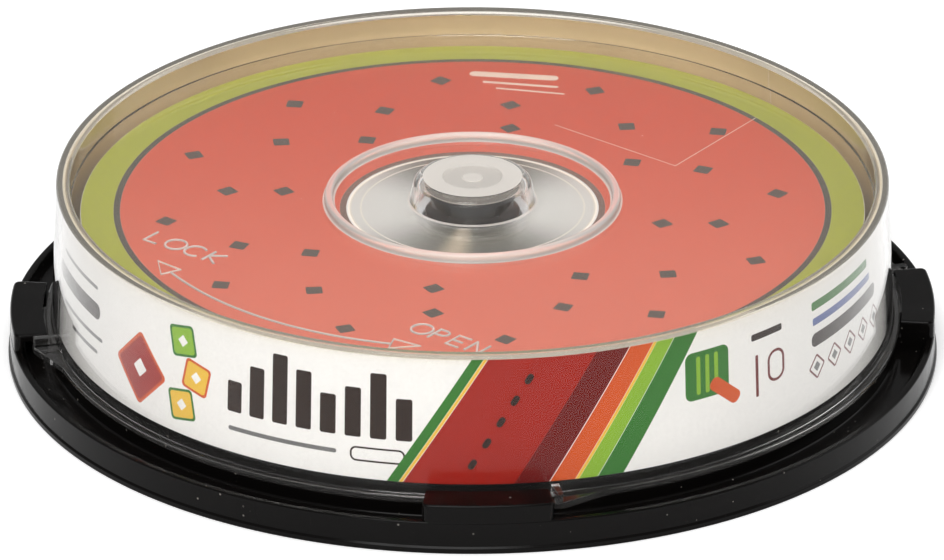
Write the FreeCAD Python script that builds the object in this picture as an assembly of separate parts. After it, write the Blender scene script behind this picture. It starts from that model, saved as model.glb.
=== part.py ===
"""Spindle box of ten recordable compact discs.

A black moulded base carries a central post, and the discs lie on it in a stack. A clear cover with
a printed paper wrap inside its wall stands on the base's ledge. Four tabs on its flange lie under
four ears of the base, and the cover is released by turning it anticlockwise, seen from above.
Millimetres, +Z up. The origin is the centre of the base, on the surface that it stands on.
"""

import FreeCAD, Part
import math
import os

from FreeCAD import Vector

# Discs
DISC_COUNT = 10
DISC_RADIUS = 60.0
DISC_BORE_RADIUS = 7.5
DISC_THICKNESS = 1.2
DISC_EDGE_ROUND = 0.15
STACK_RING_INNER = 17.1
STACK_RING_WIDTH = 1.7
STACK_RING_HEIGHT = 0.15

# Base moulding
BASE_WALL = 1.5
SEAT_HEIGHT = 9.5
SEAT_MARGIN = 1.2
SEAT_STEP = 0.4
LEDGE_HEIGHT = 5.4
SKIRT_HEIGHT = 5.0
TROUGH_DEPTH = 1.9
TROUGH_WIDTH = 3.8
TROUGH_SLOPE = 0.9
RIM_WIDTH = 1.1
BEAD_REACH = 0.3
BEAD_HEIGHT = 0.8
PAPER_STEP_HEIGHT = 2.2
PAPER_STEP_WIDTH = 1.0

# Post on the base
BORE_CLEARANCE = 0.3
POST_WALL = 1.5
POST_SHOULDER = 1.05
SHOULDER_RISE = 0.8
SHOULDER_SLOPE = 0.8
POST_TOP_ROUND = 0.8

# Roundings of the mouldings' edges and inner corners
CRISP_ROUND = 0.1
FINE_ROUND = 0.2
EDGE_ROUND = 0.3
SOFT_ROUND = 0.5
ROUND_SHARE = 0.45

# Ears of the base
EAR_COUNT = 4
EAR_LENGTH = 20.0
EAR_TURN = 1.9
EAR_ROOF = 1.1
EAR_WALL = 1.2
EAR_END_WALL = 1.4
EAR_CORNER = 1.0
EAR_EDGE_ROUND = 0.4

# Cover
COVER_WALL = 1.0
COVER_DRAFT = 1.0
PLATE_THICKNESS = 1.1
PLATE_HEADROOM = 0.9
RIM_SIDE_CLEARANCE = 1.5
RIM_RISE = 3.9
RIM_INNER_WALL = 0.6
RIM_ROOF = 0.8
PAPER_SLOT = 0.5
FLANGE_WIDTH = 1.0
FLANGE_THICKNESS = 1.0
RIB_RADIUS = 22.0
RIB_WIDTH = 1.3
RIB_RISE = 1.2

# Dome of the cover, over the post
DOME_RISE = 4.0
DOME_FOOT_RADIUS = 9.7
DOME_TOP_RADIUS = 8.8
DOME_WALL = 1.1
DOME_TOP_WALL = 1.1
DOME_TOP_ROUND = 0.9
DISH_RADIUS = 7.2
DISH_DEPTH = 0.3
GATE_RADIUS = 1.6
GATE_RISE = 0.15
POST_TOP_CLEARANCE = 0.6

# Tabs, lugs and stops on the cover's flange
TAB_THICKNESS = 0.9
TAB_REACH = 2.4
TAB_LENGTH = 13.5
LUG_REACH = 2.7
LUG_LENGTH = 10.5
LUG_HEAD = 1.5
STOP_THICKNESS = 1.3
STOP_CORNER = 0.5
STOP_GAP = 0.5

# Paper wrap
WRAP_THICKNESS = 0.25
WRAP_WALL_CLEARANCE = 0.12
WRAP_TOP_CLEARANCE = 0.1
WRAP_STEP_CLEARANCE = 0.3
WRAP_SEAM_GAP = 0.4
WRAP_SEAM_AZIMUTH = 42.0

# Running clearances between the cover and the base
SEATING_CLEARANCE = 0.1
EAR_CLEARANCE = 0.3
LEDGE_SETBACK = 0.4
DRUM_CLEARANCE = 0.6

# Raised words and arrow on the cover
LETTER_HEIGHT = 3.8
LETTER_STROKE = 0.35
LETTER_RISE = 0.25
LETTER_SINK = 0.1
LETTER_ASPECT = 0.7
MIDDLE_BAR_SHARE = 0.6
C_MOUTH = 90.0
WORDS_AZIMUTH = -128.5
WORDS_INSET = 40.7
LOCK_OFFSET = -23.6
LOCK_PITCH = 4.3
OPEN_OFFSET = 28.0
OPEN_PITCH = 3.5
ARROW_RADIUS = 52.5
ARROW_START = -151.5
ARROW_END = -103.4
ARROW_HEAD_LENGTH = 4.4
ARROW_HEAD_WIDTH = 3.3

# Heights, from the ground up
DISC_PITCH = DISC_THICKNESS + STACK_RING_HEIGHT
STACK_TOP = SEAT_HEIGHT + DISC_COUNT * DISC_PITCH
PLATFORM_TOP = SEAT_HEIGHT - SEAT_STEP
TROUGH_FLOOR = SKIRT_HEIGHT - TROUGH_DEPTH
PAPER_STEP_TOP = LEDGE_HEIGHT + PAPER_STEP_HEIGHT
FLANGE_BOTTOM = LEDGE_HEIGHT + SEATING_CLEARANCE
FLANGE_TOP = FLANGE_BOTTOM + FLANGE_THICKNESS
TAB_TOP = FLANGE_BOTTOM + TAB_THICKNESS
EAR_BOTTOM = TAB_TOP + EAR_CLEARANCE
EAR_TOP = EAR_BOTTOM + EAR_ROOF
PLATE_BOTTOM = STACK_TOP + PLATE_HEADROOM
PLATE_TOP = PLATE_BOTTOM + PLATE_THICKNESS
RIM_TOP = PLATE_TOP + RIM_RISE
SLOT_TOP = RIM_TOP - RIM_ROOF
DOME_TOP = PLATE_TOP + DOME_RISE
DOME_CEILING = DOME_TOP - DISH_DEPTH - DOME_TOP_WALL
POST_TOP = DOME_CEILING - POST_TOP_CLEARANCE
SHOULDER_BOTTOM = STACK_TOP + SHOULDER_RISE
WRAP_BOTTOM = PAPER_STEP_TOP + WRAP_STEP_CLEARANCE
WRAP_TOP = SLOT_TOP - WRAP_TOP_CLEARANCE

# Radii, from the discs outwards
STACK_RING_OUTER = STACK_RING_INNER + STACK_RING_WIDTH
SEAT_RADIUS = STACK_RING_OUTER + SEAT_MARGIN
POST_RADIUS = DISC_BORE_RADIUS - BORE_CLEARANCE
POST_TOP_RADIUS = POST_RADIUS - POST_SHOULDER
RIM_INNER_RADIUS = DISC_RADIUS + RIM_SIDE_CLEARANCE
SLOT_INNER_RADIUS = RIM_INNER_RADIUS + RIM_INNER_WALL
COVER_TOP_RADIUS = SLOT_INNER_RADIUS + PAPER_SLOT + COVER_WALL
COVER_FOOT_RADIUS = COVER_TOP_RADIUS + COVER_DRAFT
FLANGE_RADIUS = COVER_FOOT_RADIUS + FLANGE_WIDTH
TAB_RADIUS = FLANGE_RADIUS + TAB_REACH
LUG_RADIUS = FLANGE_RADIUS + LUG_REACH
PAPER_STEP_RADIUS = COVER_FOOT_RADIUS - COVER_WALL - DRUM_CLEARANCE
PLATFORM_RADIUS = PAPER_STEP_RADIUS - PAPER_STEP_WIDTH
LEDGE_RADIUS = FLANGE_RADIUS - LEDGE_SETBACK
EAR_INNER_RADIUS = FLANGE_RADIUS + EAR_CLEARANCE
TROUGH_RADIUS = LEDGE_RADIUS + TROUGH_WIDTH
RIM_WELL_RADIUS = TROUGH_RADIUS + TROUGH_SLOPE
BASE_RADIUS = RIM_WELL_RADIUS + RIM_WIDTH

# Angles on the base and cover, in degrees
EAR_SPAN = math.degrees(EAR_LENGTH / BASE_RADIUS)
EAR_MOUTH = EAR_TURN + EAR_SPAN / 2
STOP_START = EAR_MOUTH + math.degrees(STOP_GAP / LUG_RADIUS)
STOP_SPAN = math.degrees(STOP_THICKNESS / LUG_RADIUS)
LUG_SPAN = math.degrees(LUG_LENGTH / LUG_RADIUS)
LUG_HEAD_SPAN = math.degrees(LUG_HEAD / LUG_RADIUS)
TAB_SPAN = math.degrees(TAB_LENGTH / TAB_RADIUS)
EAR_PITCH = 360.0 / EAR_COUNT

ORIGIN = Vector(0, 0, 0)
UP = Vector(0, 0, 1)
OVERLAP = 0.4
TOUCH = 1e-6


def polar(radius, azimuth, height=0.0):
    """Point at a radius and azimuth round the box's axis."""
    angle = math.radians(azimuth)
    return Vector(radius * math.cos(angle), radius * math.sin(angle), height)


def rounded_outline(corners):
    """Closed outline in the XZ plane through (radius, height, rounding) corners."""
    points = [Vector(corner[0], 0, corner[1]) for corner in corners]
    count = len(points)
    stops = []
    arcs = []
    for index, corner in enumerate(corners):
        here = points[index]
        back = points[index - 1] - here
        ahead = points[(index + 1) % count] - here
        if len(corner) < 3:
            stops.append((here, here))
            arcs.append(None)
            continue
        room = ROUND_SHARE * min(back.Length, ahead.Length)
        half = back.getAngle(ahead) / 2
        reach = min(corner[2] / math.tan(half), room)
        radius = reach * math.tan(half)
        back.normalize()
        ahead.normalize()
        bisector = (back + ahead).normalize()
        middle = here + bisector * (radius / math.sin(half) - radius)
        stops.append((here + back * reach, here + ahead * reach))
        arcs.append(Part.Arc(stops[-1][0], middle, stops[-1][1]).toShape())
    edges = []
    for index in range(count):
        if arcs[index]:
            edges.append(arcs[index])
        start = stops[index][1]
        end = stops[(index + 1) % count][0]
        edges.append(Part.LineSegment(start, end).toShape())
    return Part.Face(Part.Wire(edges))


def turned(corners, start=0.0, span=360.0):
    """Solid turned about the box's axis from its section's corners."""
    section = rounded_outline(corners)
    section.rotate(ORIGIN, UP, start)
    return section.revolve(ORIGIN, UP, span)


def ring_block(inner, outer, bottom, top, start, span):
    """Plain block between two radii and two heights, over a part of the turn."""
    return turned([(inner, bottom), (outer, bottom), (outer, top), (inner, top)], start, span)


def disc(index):
    """One disc, with the stacking ring under it; index 0 is the lowest."""
    bottom = SEAT_HEIGHT + index * DISC_PITCH + STACK_RING_HEIGHT
    top = bottom + DISC_THICKNESS
    ring_foot = bottom - STACK_RING_HEIGHT
    return turned([
        (DISC_BORE_RADIUS, bottom, DISC_EDGE_ROUND),
        (STACK_RING_INNER, bottom),
        (STACK_RING_INNER, ring_foot),
        (STACK_RING_OUTER, ring_foot),
        (STACK_RING_OUTER, bottom),
        (DISC_RADIUS, bottom, DISC_EDGE_ROUND),
        (DISC_RADIUS, top, DISC_EDGE_ROUND),
        (DISC_BORE_RADIUS, top, DISC_EDGE_ROUND),
    ])


def base_shell():
    """The turned form of the base: skirt, trough, ledge, platform and hollow post."""
    post_inner = POST_RADIUS - POST_WALL
    post_top_inner = POST_TOP_RADIUS - POST_WALL
    return turned([
        (BASE_RADIUS + BEAD_REACH, 0, FINE_ROUND),
        (BASE_RADIUS + BEAD_REACH, BEAD_HEIGHT, FINE_ROUND),
        (BASE_RADIUS, BEAD_HEIGHT + BEAD_REACH),
        (BASE_RADIUS, SKIRT_HEIGHT, EDGE_ROUND),
        (RIM_WELL_RADIUS, SKIRT_HEIGHT, EDGE_ROUND),
        (TROUGH_RADIUS, TROUGH_FLOOR, SOFT_ROUND),
        (LEDGE_RADIUS, TROUGH_FLOOR, SOFT_ROUND),
        (LEDGE_RADIUS, LEDGE_HEIGHT, FINE_ROUND),
        (PAPER_STEP_RADIUS, LEDGE_HEIGHT, FINE_ROUND),
        (PAPER_STEP_RADIUS, PAPER_STEP_TOP, EDGE_ROUND),
        (PLATFORM_RADIUS, PAPER_STEP_TOP, FINE_ROUND),
        (PLATFORM_RADIUS, PLATFORM_TOP, EDGE_ROUND),
        (SEAT_RADIUS, PLATFORM_TOP, FINE_ROUND),
        (SEAT_RADIUS, SEAT_HEIGHT, CRISP_ROUND),
        (POST_RADIUS, SEAT_HEIGHT, FINE_ROUND),
        (POST_RADIUS, SHOULDER_BOTTOM, EDGE_ROUND),
        (POST_TOP_RADIUS, SHOULDER_BOTTOM + SHOULDER_SLOPE, EDGE_ROUND),
        (POST_TOP_RADIUS, POST_TOP, POST_TOP_ROUND),
        (0, POST_TOP),
        (0, POST_TOP - POST_WALL),
        (post_top_inner, POST_TOP - POST_WALL, EDGE_ROUND),
        (post_top_inner, SHOULDER_BOTTOM),
        (post_inner, SHOULDER_BOTTOM - SHOULDER_SLOPE),
        (post_inner, SEAT_HEIGHT - BASE_WALL, SOFT_ROUND),
        (SEAT_RADIUS - BASE_WALL, SEAT_HEIGHT - BASE_WALL, CRISP_ROUND),
        (SEAT_RADIUS - BASE_WALL, PLATFORM_TOP - BASE_WALL, CRISP_ROUND),
        (PLATFORM_RADIUS - BASE_WALL, PLATFORM_TOP - BASE_WALL, EDGE_ROUND),
        (PLATFORM_RADIUS - BASE_WALL, PAPER_STEP_TOP - BASE_WALL, FINE_ROUND),
        (PAPER_STEP_RADIUS - BASE_WALL, PAPER_STEP_TOP - BASE_WALL, FINE_ROUND),
        (PAPER_STEP_RADIUS - BASE_WALL, LEDGE_HEIGHT - BASE_WALL, FINE_ROUND),
        (LEDGE_RADIUS - BASE_WALL, LEDGE_HEIGHT - BASE_WALL, FINE_ROUND),
        (LEDGE_RADIUS - BASE_WALL, TROUGH_FLOOR - BASE_WALL, FINE_ROUND),
        (BASE_RADIUS - BASE_WALL, TROUGH_FLOOR - BASE_WALL, EDGE_ROUND),
        (BASE_RADIUS - BASE_WALL, 0, FINE_ROUND),
    ])


def outer_vertical(edge, radius):
    """Whether an edge stands upright at this radius."""
    first, last = edge.Vertexes[0].Point, edge.Vertexes[-1].Point
    upright = abs(first.x - last.x) + abs(first.y - last.y) < TOUCH
    return upright and abs(math.hypot(first.x, first.y) - radius) < TOUCH


def ear(azimuth):
    """Bridge over the trough: a roof and an outer wall, closed at its clockwise end."""
    start = azimuth - EAR_SPAN / 2
    foot = SKIRT_HEIGHT - OVERLAP
    end_span = math.degrees(EAR_END_WALL / BASE_RADIUS)
    block = ring_block(EAR_INNER_RADIUS, BASE_RADIUS, foot, EAR_TOP, start, EAR_SPAN)
    corners = [edge for edge in block.Edges if outer_vertical(edge, BASE_RADIUS)]
    block = block.makeFillet(EAR_CORNER, corners)
    brow = [
        edge for edge in block.Edges
        if edge.BoundBox.ZMin > EAR_TOP - TOUCH
        and edge.CenterOfMass.Length > EAR_INNER_RADIUS + EAR_EDGE_ROUND
    ]
    block = block.makeFillet(EAR_EDGE_ROUND, brow)
    tunnel = ring_block(
        EAR_INNER_RADIUS - OVERLAP, BASE_RADIUS - EAR_WALL, foot - OVERLAP, EAR_BOTTOM,
        start + end_span, EAR_SPAN,
    )
    end_wall = turned([
        (LEDGE_RADIUS - OVERLAP, TROUGH_FLOOR - OVERLAP),
        (RIM_WELL_RADIUS + OVERLAP, TROUGH_FLOOR - OVERLAP),
        (RIM_WELL_RADIUS + OVERLAP, EAR_BOTTOM),
        (EAR_INNER_RADIUS, EAR_BOTTOM),
        (EAR_INNER_RADIUS, LEDGE_HEIGHT - OVERLAP),
        (LEDGE_RADIUS - OVERLAP, LEDGE_HEIGHT - OVERLAP),
    ], start, end_span)
    return block.cut(tunnel).fuse(end_wall)


def base():
    """The base with its ears, one moulding."""
    ears = [ear(EAR_TURN + number * EAR_PITCH) for number in range(EAR_COUNT)]
    return base_shell().fuse(ears).removeSplitter()


def wall_radius(height):
    """Outer radius of the cover's drafted wall at a height."""
    fall = (RIM_TOP - height) / (RIM_TOP - FLANGE_TOP)
    return COVER_TOP_RADIUS + COVER_DRAFT * fall


def cover_shell():
    """The turned form of the cover: flange, wall, hollow rim, plate, ring rib and dome."""
    foot_inner = wall_radius(FLANGE_BOTTOM) - COVER_WALL
    slot_outer = wall_radius(SLOT_TOP) - COVER_WALL
    rib_outer = RIB_RADIUS + RIB_WIDTH / 2
    rib_inner = RIB_RADIUS - RIB_WIDTH / 2
    dish_floor = DOME_TOP - DISH_DEPTH
    return turned([
        (foot_inner, FLANGE_BOTTOM),
        (FLANGE_RADIUS, FLANGE_BOTTOM, FINE_ROUND),
        (FLANGE_RADIUS, FLANGE_TOP, EDGE_ROUND),
        (COVER_FOOT_RADIUS, FLANGE_TOP, FINE_ROUND),
        (COVER_TOP_RADIUS, RIM_TOP, SOFT_ROUND),
        (RIM_INNER_RADIUS, RIM_TOP, SOFT_ROUND),
        (RIM_INNER_RADIUS, PLATE_TOP, EDGE_ROUND),
        (rib_outer, PLATE_TOP, EDGE_ROUND),
        (rib_outer, PLATE_TOP + RIB_RISE, SOFT_ROUND),
        (rib_inner, PLATE_TOP + RIB_RISE, SOFT_ROUND),
        (rib_inner, PLATE_TOP, EDGE_ROUND),
        (DOME_FOOT_RADIUS, PLATE_TOP, EDGE_ROUND),
        (DOME_TOP_RADIUS, DOME_TOP, DOME_TOP_ROUND),
        (DISH_RADIUS, DOME_TOP, FINE_ROUND),
        (DISH_RADIUS - DISH_DEPTH, dish_floor, FINE_ROUND),
        (GATE_RADIUS, dish_floor),
        (GATE_RADIUS - GATE_RISE, dish_floor + GATE_RISE),
        (0, dish_floor + GATE_RISE),
        (0, DOME_CEILING),
        (DOME_TOP_RADIUS - DOME_WALL, DOME_CEILING, SOFT_ROUND),
        (DOME_FOOT_RADIUS - DOME_WALL, PLATE_BOTTOM, EDGE_ROUND),
        (SLOT_INNER_RADIUS, PLATE_BOTTOM, CRISP_ROUND),
        (SLOT_INNER_RADIUS, SLOT_TOP),
        (slot_outer, SLOT_TOP),
    ])


def lug(mouth):
    """Tab under the ear, wedge beside its mouth and upright stop between them."""
    root = COVER_FOOT_RADIUS - OVERLAP
    start = mouth + STOP_START - EAR_MOUTH
    head_end = start + LUG_HEAD_SPAN
    wedge_end = start + LUG_SPAN
    wedge_tip = FLANGE_RADIUS - OVERLAP
    outline = [
        Part.LineSegment(polar(root, start), polar(LUG_RADIUS, start)).toShape(),
        Part.Arc(
            polar(LUG_RADIUS, start), polar(LUG_RADIUS, (start + head_end) / 2), polar(LUG_RADIUS, head_end)
        ).toShape(),
        Part.LineSegment(polar(LUG_RADIUS, head_end), polar(wedge_tip, wedge_end)).toShape(),
        Part.LineSegment(polar(wedge_tip, wedge_end), polar(root, wedge_end)).toShape(),
        Part.Arc(
            polar(root, wedge_end), polar(root, (start + wedge_end) / 2), polar(root, start)
        ).toShape(),
    ]
    wedge = Part.Face(Part.Wire(outline)).extrude(UP * FLANGE_THICKNESS)
    wedge.translate(UP * FLANGE_BOTTOM)
    tab = ring_block(root, TAB_RADIUS, FLANGE_BOTTOM, TAB_TOP, start - TAB_SPAN, TAB_SPAN + STOP_SPAN / 2)
    stop = ring_block(root, LUG_RADIUS, FLANGE_BOTTOM, EAR_TOP, start, STOP_SPAN)
    corners = [edge for edge in stop.Edges if outer_vertical(edge, LUG_RADIUS)]
    stop = stop.makeFillet(STOP_CORNER, corners)
    return wedge.fuse([tab, stop])


def stroke(start, end):
    """Raised bar between two points of the plate, with round ends."""
    run = end - start
    half = LETTER_STROKE / 2
    height = LETTER_SINK + LETTER_RISE
    level = PLATE_TOP - LETTER_SINK
    bar = Part.makeBox(run.Length, LETTER_STROKE, height, Vector(0, -half, level))
    bar = bar.fuse([
        Part.makeCylinder(half, height, Vector(0, 0, level)),
        Part.makeCylinder(half, height, Vector(run.Length, 0, level)),
    ])
    bar.rotate(ORIGIN, UP, math.degrees(math.atan2(run.y, run.x)))
    bar.translate(start)
    return bar


def bow(centre, radius, start, span):
    """Raised bar along an arc round a point of the plate."""
    half = LETTER_STROKE / 2
    level = PLATE_TOP - LETTER_SINK
    bar = ring_block(radius - half, radius + half, level, level + LETTER_SINK + LETTER_RISE, start, span)
    bar.translate(centre)
    return bar


def letter(sign):
    """Bars of one capital, as tall as LETTER_HEIGHT and centred on the origin."""
    top = LETTER_HEIGHT / 2 - LETTER_STROKE / 2
    side = LETTER_ASPECT * top
    corner = {
        "nw": Vector(-side, top, 0), "ne": Vector(side, top, 0), "w": Vector(-side, 0, 0),
        "sw": Vector(-side, -top, 0), "se": Vector(side, -top, 0),
        "e": Vector(MIDDLE_BAR_SHARE * side, 0, 0),
    }
    lines = {
        "L": ["nw-sw", "sw-se"],
        "K": ["nw-sw", "ne-w", "w-se"],
        "E": ["nw-sw", "nw-ne", "w-e", "sw-se"],
        "N": ["sw-nw", "nw-se", "se-ne"],
        "P": ["nw-sw"],
        "O": [],
        "C": [],
    }[sign]
    bars = [stroke(*[corner[end] for end in line.split("-")]) for line in lines]
    if sign == "O":
        bars.append(bow(ORIGIN, top, 0, 360))
    if sign == "C":
        bars.append(bow(ORIGIN, top, C_MOUTH / 2, 360 - C_MOUTH))
    if sign == "P":
        bars.append(stroke(corner["nw"], Vector(0, top, 0)))
        bars.append(stroke(corner["w"], ORIGIN))
        bars.append(bow(Vector(0, top / 2, 0), top / 2, -90, 180))
    return bars


def word(text, offset, pitch):
    """Bars of a word set square to the words' azimuth, at a distance from the axis."""
    bars = []
    for number, sign in enumerate(text):
        along = offset + (number - (len(text) - 1) / 2) * pitch
        for bar in letter(sign):
            bar.translate(Vector(along, -WORDS_INSET, 0))
            bar.rotate(ORIGIN, UP, WORDS_AZIMUTH + 90)
            bars.append(bar)
    return bars


def arrow():
    """Arc with a head at each end, between the two words."""
    level = PLATE_TOP - LETTER_SINK
    height = LETTER_SINK + LETTER_RISE
    head_span = math.degrees(ARROW_HEAD_LENGTH / ARROW_RADIUS)
    bars = [bow(ORIGIN, ARROW_RADIUS, ARROW_START, ARROW_END - ARROW_START)]
    for foot, tip in ((ARROW_START, ARROW_START - head_span), (ARROW_END, ARROW_END + head_span)):
        corners = [
            polar(ARROW_RADIUS - ARROW_HEAD_WIDTH / 2, foot, level),
            polar(ARROW_RADIUS, tip, level),
            polar(ARROW_RADIUS + ARROW_HEAD_WIDTH / 2, foot, level),
        ]
        outline = Part.makePolygon(corners + corners[:1])
        bars.append(Part.Face(outline).extrude(UP * height))
    return bars


def cover():
    """The cover with its lugs and raised signs, one moulding."""
    lugs = [lug(EAR_MOUTH + number * EAR_PITCH) for number in range(EAR_COUNT)]
    signs = word("LOCK", LOCK_OFFSET, LOCK_PITCH) + word("OPEN", OPEN_OFFSET, OPEN_PITCH) + arrow()
    return cover_shell().fuse(lugs + signs).removeSplitter()


def label_wrap():
    """Strip of paper bent round inside the cover's wall, its ends meeting at the seam."""
    setback = COVER_WALL + WRAP_WALL_CLEARANCE
    foot = wall_radius(WRAP_BOTTOM) - setback
    head = wall_radius(WRAP_TOP) - setback
    gap = math.degrees(WRAP_SEAM_GAP / foot)
    return turned([
        (foot - WRAP_THICKNESS, WRAP_BOTTOM),
        (foot, WRAP_BOTTOM),
        (head, WRAP_TOP),
        (head - WRAP_THICKNESS, WRAP_TOP),
    ], WRAP_SEAM_AZIMUTH, 360 - gap)


pieces = {"base": base(), "cover": cover(), "label_wrap": label_wrap()}
for number in range(DISC_COUNT):
    pieces["disc_%02d" % (number + 1)] = disc(number)

os.makedirs("parts", exist_ok=True)
for name, shape in pieces.items():
    shape.exportStep("parts/%s.step" % name)
    print(name, shape.ShapeType, len(shape.Solids), shape.isValid(), round(shape.Volume, 1))
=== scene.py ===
"""Spindle box of ten recordable compact discs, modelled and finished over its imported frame.

The black base with its post, the clear cover, the printed paper wrap and the discs are modelled again
as smooth pieces with the forms of the frame's nodes. Metres, +Z up, in the frame's own coordinates.
"""

import math
from types import SimpleNamespace

import bmesh
import bpy
from mathutils import Matrix, Quaternion, Vector


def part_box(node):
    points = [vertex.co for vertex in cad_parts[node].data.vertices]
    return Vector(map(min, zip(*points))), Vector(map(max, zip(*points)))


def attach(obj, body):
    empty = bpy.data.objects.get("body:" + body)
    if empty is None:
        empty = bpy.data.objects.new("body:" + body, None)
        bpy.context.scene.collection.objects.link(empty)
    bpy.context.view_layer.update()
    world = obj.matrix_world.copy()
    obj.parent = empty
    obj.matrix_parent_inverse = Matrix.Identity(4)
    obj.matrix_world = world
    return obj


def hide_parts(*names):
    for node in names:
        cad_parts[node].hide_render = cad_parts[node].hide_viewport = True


bl_info = {
    "name": "Disc Spindle Box",
    "version": (1, 0, 0),
    "blender": (4, 5, 0),
    "location": "View3D > Sidebar > Spindle Box",
    "description": "Closed spindle box of compact discs with a printed paper wrap",
    "category": "Add Mesh",
}

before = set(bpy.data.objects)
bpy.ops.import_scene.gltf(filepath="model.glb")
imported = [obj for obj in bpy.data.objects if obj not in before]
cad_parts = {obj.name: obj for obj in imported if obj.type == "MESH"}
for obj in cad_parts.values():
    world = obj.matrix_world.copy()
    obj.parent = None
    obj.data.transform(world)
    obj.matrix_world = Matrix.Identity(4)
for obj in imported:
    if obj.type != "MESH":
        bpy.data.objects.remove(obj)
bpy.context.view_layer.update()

MM = 0.001
UP = Vector((0, 0, 1))

# Sizes that the frame gives
BASE_LOW, BASE_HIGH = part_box("base")
COVER_LOW, COVER_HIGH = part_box("cover")
WRAP_LOW, WRAP_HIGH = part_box("label_wrap")
STACK_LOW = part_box("disc_01")[0]
STACK_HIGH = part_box("disc_10")[1]
DISC_NODES = sorted(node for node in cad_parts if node.startswith("disc_"))
DISC_PITCH = (STACK_HIGH.z - STACK_LOW.z) / len(DISC_NODES)

# Fineness of the turned forms, of the roundings and of the raised lines
TURN_STEPS = 256
ROUND_STEPS = 4
LUG_ROUND_STEPS = 2
LUG_STEPS = 6
STROKE_STEPS = 2
ARC_STEP = math.radians(12)
ARROW_STEP = math.radians(2)

# Reach of pieces into each other where they are united, and the gap below which points are merged
OVERLAP = 0.4 * MM
WELD = 0.002 * MM

# Edges that are less sharp than this are shaded smooth
SMOOTH_ANGLE = math.radians(32)

# Limits for a face's normal: its upward part on a level face and on an upright one, and its outward
# part on a face that looks at the axis
LEVEL_NORMAL = 0.9
UPRIGHT_NORMAL = 0.1
INWARD_NORMAL = -0.5

# Small setback of parts that are united, so that no two of their faces lie in one plane
SINK = 0.01 * MM

# Roundings of the mouldings' edges and inner corners, and the most of a side that one takes up
CRISP_ROUND = 0.1 * MM
FINE_ROUND = 0.2 * MM
EDGE_ROUND = 0.3 * MM
SOFT_ROUND = 0.5 * MM
ROUND_SHARE = 0.45

# Ears, each with its lug
EAR_COUNT = 4
EAR_PITCH = 2 * math.pi / EAR_COUNT

# Names of the shared shader groups and the kinds of their sockets
AXIS = "Around The Axis"
MARK = "Printed Mark"
DUST = "Dust"
SMUDGES = "Smudges"
SOCKETS = {"value": "NodeSocketFloat", "vector": "NodeSocketVector"}

# The disc's print, in millimetres: radii of its red field and its green ring, and the softness of all
# print
FIELD_INNER = 20.3
FIELD_OUTER = 53.9
LIME_INNER = 54.9
LIME_OUTER = 59.9
PRINT_SOFTNESS = 0.05

# The disc's clear middle: width of its painted highlight rings in millimetres, the warm painted
# reflection streak's middle, half span and strength, and how much of a metal the silver behind it is
HUB_GLINT_WIDTH = 0.5
STREAK_TURN = math.radians(-100)
STREAK_SPAN = math.radians(13)
STREAK_STRENGTH = 0.8
HUB_METAL = 0.35

# The disc's silver side, in millimetres: its radii and the softness of their edges
SILVER_INNER = 22.3
SILVER_OUTER = 58.0
SILVER_SOFTNESS = 0.1

# Diamonds on the disc's face: half their side and their corners in millimetres, and of each ring its
# radius, their count and the turn of the first
DIAMOND_HALF = 1.25
DIAMOND_CORNER = 0.25
DIAMOND_RINGS = ((29.5, 8, 0.2), (38.0, 12, -0.367), (47.0, 12, -0.105))

# Pale rules on the disc's face, in millimetres and degrees: middle across and ahead, half length,
# half width and turn
FACE_RULES = (
    (6.5, 48.5, 7.0, 0.9, -8),
    (7.5, 45.3, 6.0, 0.35, -10),
    (9.0, 42.8, 5.5, 0.25, -12),
    (22.0, 22.6, 12.0, 0.07, -39.4),
    (37.6, 23.9, 10.9, 0.07, 54.3),
)

# Turn of a square that stands on its corner, in degrees
DIAMOND_TURN = 45

# The wrap's print, in millimetres and degrees. A mark is its ink, middle across and up, half length,
# half width, turn, corner rounding and width of line, or 0 where it is filled
LEFT_MARKS = (
    ("ink", -78.0, 11.8, 9.5, 1.3, 0, 1.2, 0),
    ("grey", -77.0, 15.6, 7.5, 0.3, 0, 0.3, 0),
    ("grey", -75.5, 7.6, 8.0, 0.3, 0, 0.3, 0),
    ("grey", -74.0, 5.2, 5.0, 0.3, 0, 0.3, 0),
    ("orange", -57.0, 7.6, 4.3, 4.3, DIAMOND_TURN, 0.8, 0),
    ("red", -57.0, 7.6, 3.8, 3.8, DIAMOND_TURN, 0.6, 0),
    ("paper", -57.0, 7.6, 1.1, 1.1, DIAMOND_TURN, 0.2, 0),
)
RIGHT_MARKS = (
    ("green", 37.0, 13.0, 3.9, 3.9, 0, 1.2, 0),
    ("leaf", 35.4, 13.0, 0.35, 3.1, 0, 0.3, 0),
    ("leaf", 37.0, 13.0, 0.35, 3.1, 0, 0.3, 0),
    ("leaf", 38.6, 13.0, 0.35, 3.1, 0, 0.3, 0),
    ("orange", 40.2, 9.4, 3.2, 1.1, -40, 0.9, 0),
    ("ink", 48.6, 16.2, 3.2, 0.55, 0, 0.3, 0),
    ("deep_red", 46.4, 9.8, 0.28, 3.4, 0, 0.2, 0),
    ("deep_red", 50.4, 10.4, 1.8, 2.6, 0, 1.7, 0.45),
    ("green", 68.0, 16.6, 9.0, 0.7, 0, 0.3, 0),
    ("blue", 68.6, 14.0, 9.4, 0.6, 0, 0.3, 0),
    ("ink", 69.6, 11.0, 10.8, 1.1, 0, 1.0, 0),
)

# Three small tiles: inks of rim and filling, middle across and up, and turn. Then half the side and the
# corner of their rims, their fillings and the diamonds of bare paper in them
TILES = (
    ("green", "leaf", -47.6, 15.2, 12),
    ("orange", "yellow", -44.8, 10.0, -12),
    ("green", "yellow", -47.6, 4.8, 12),
)
TILE_RIM = (2.5, 0.7)
TILE_FILLING = (2.1, 0.5)
TILE_CORE = (0.7, 0.1)

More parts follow.
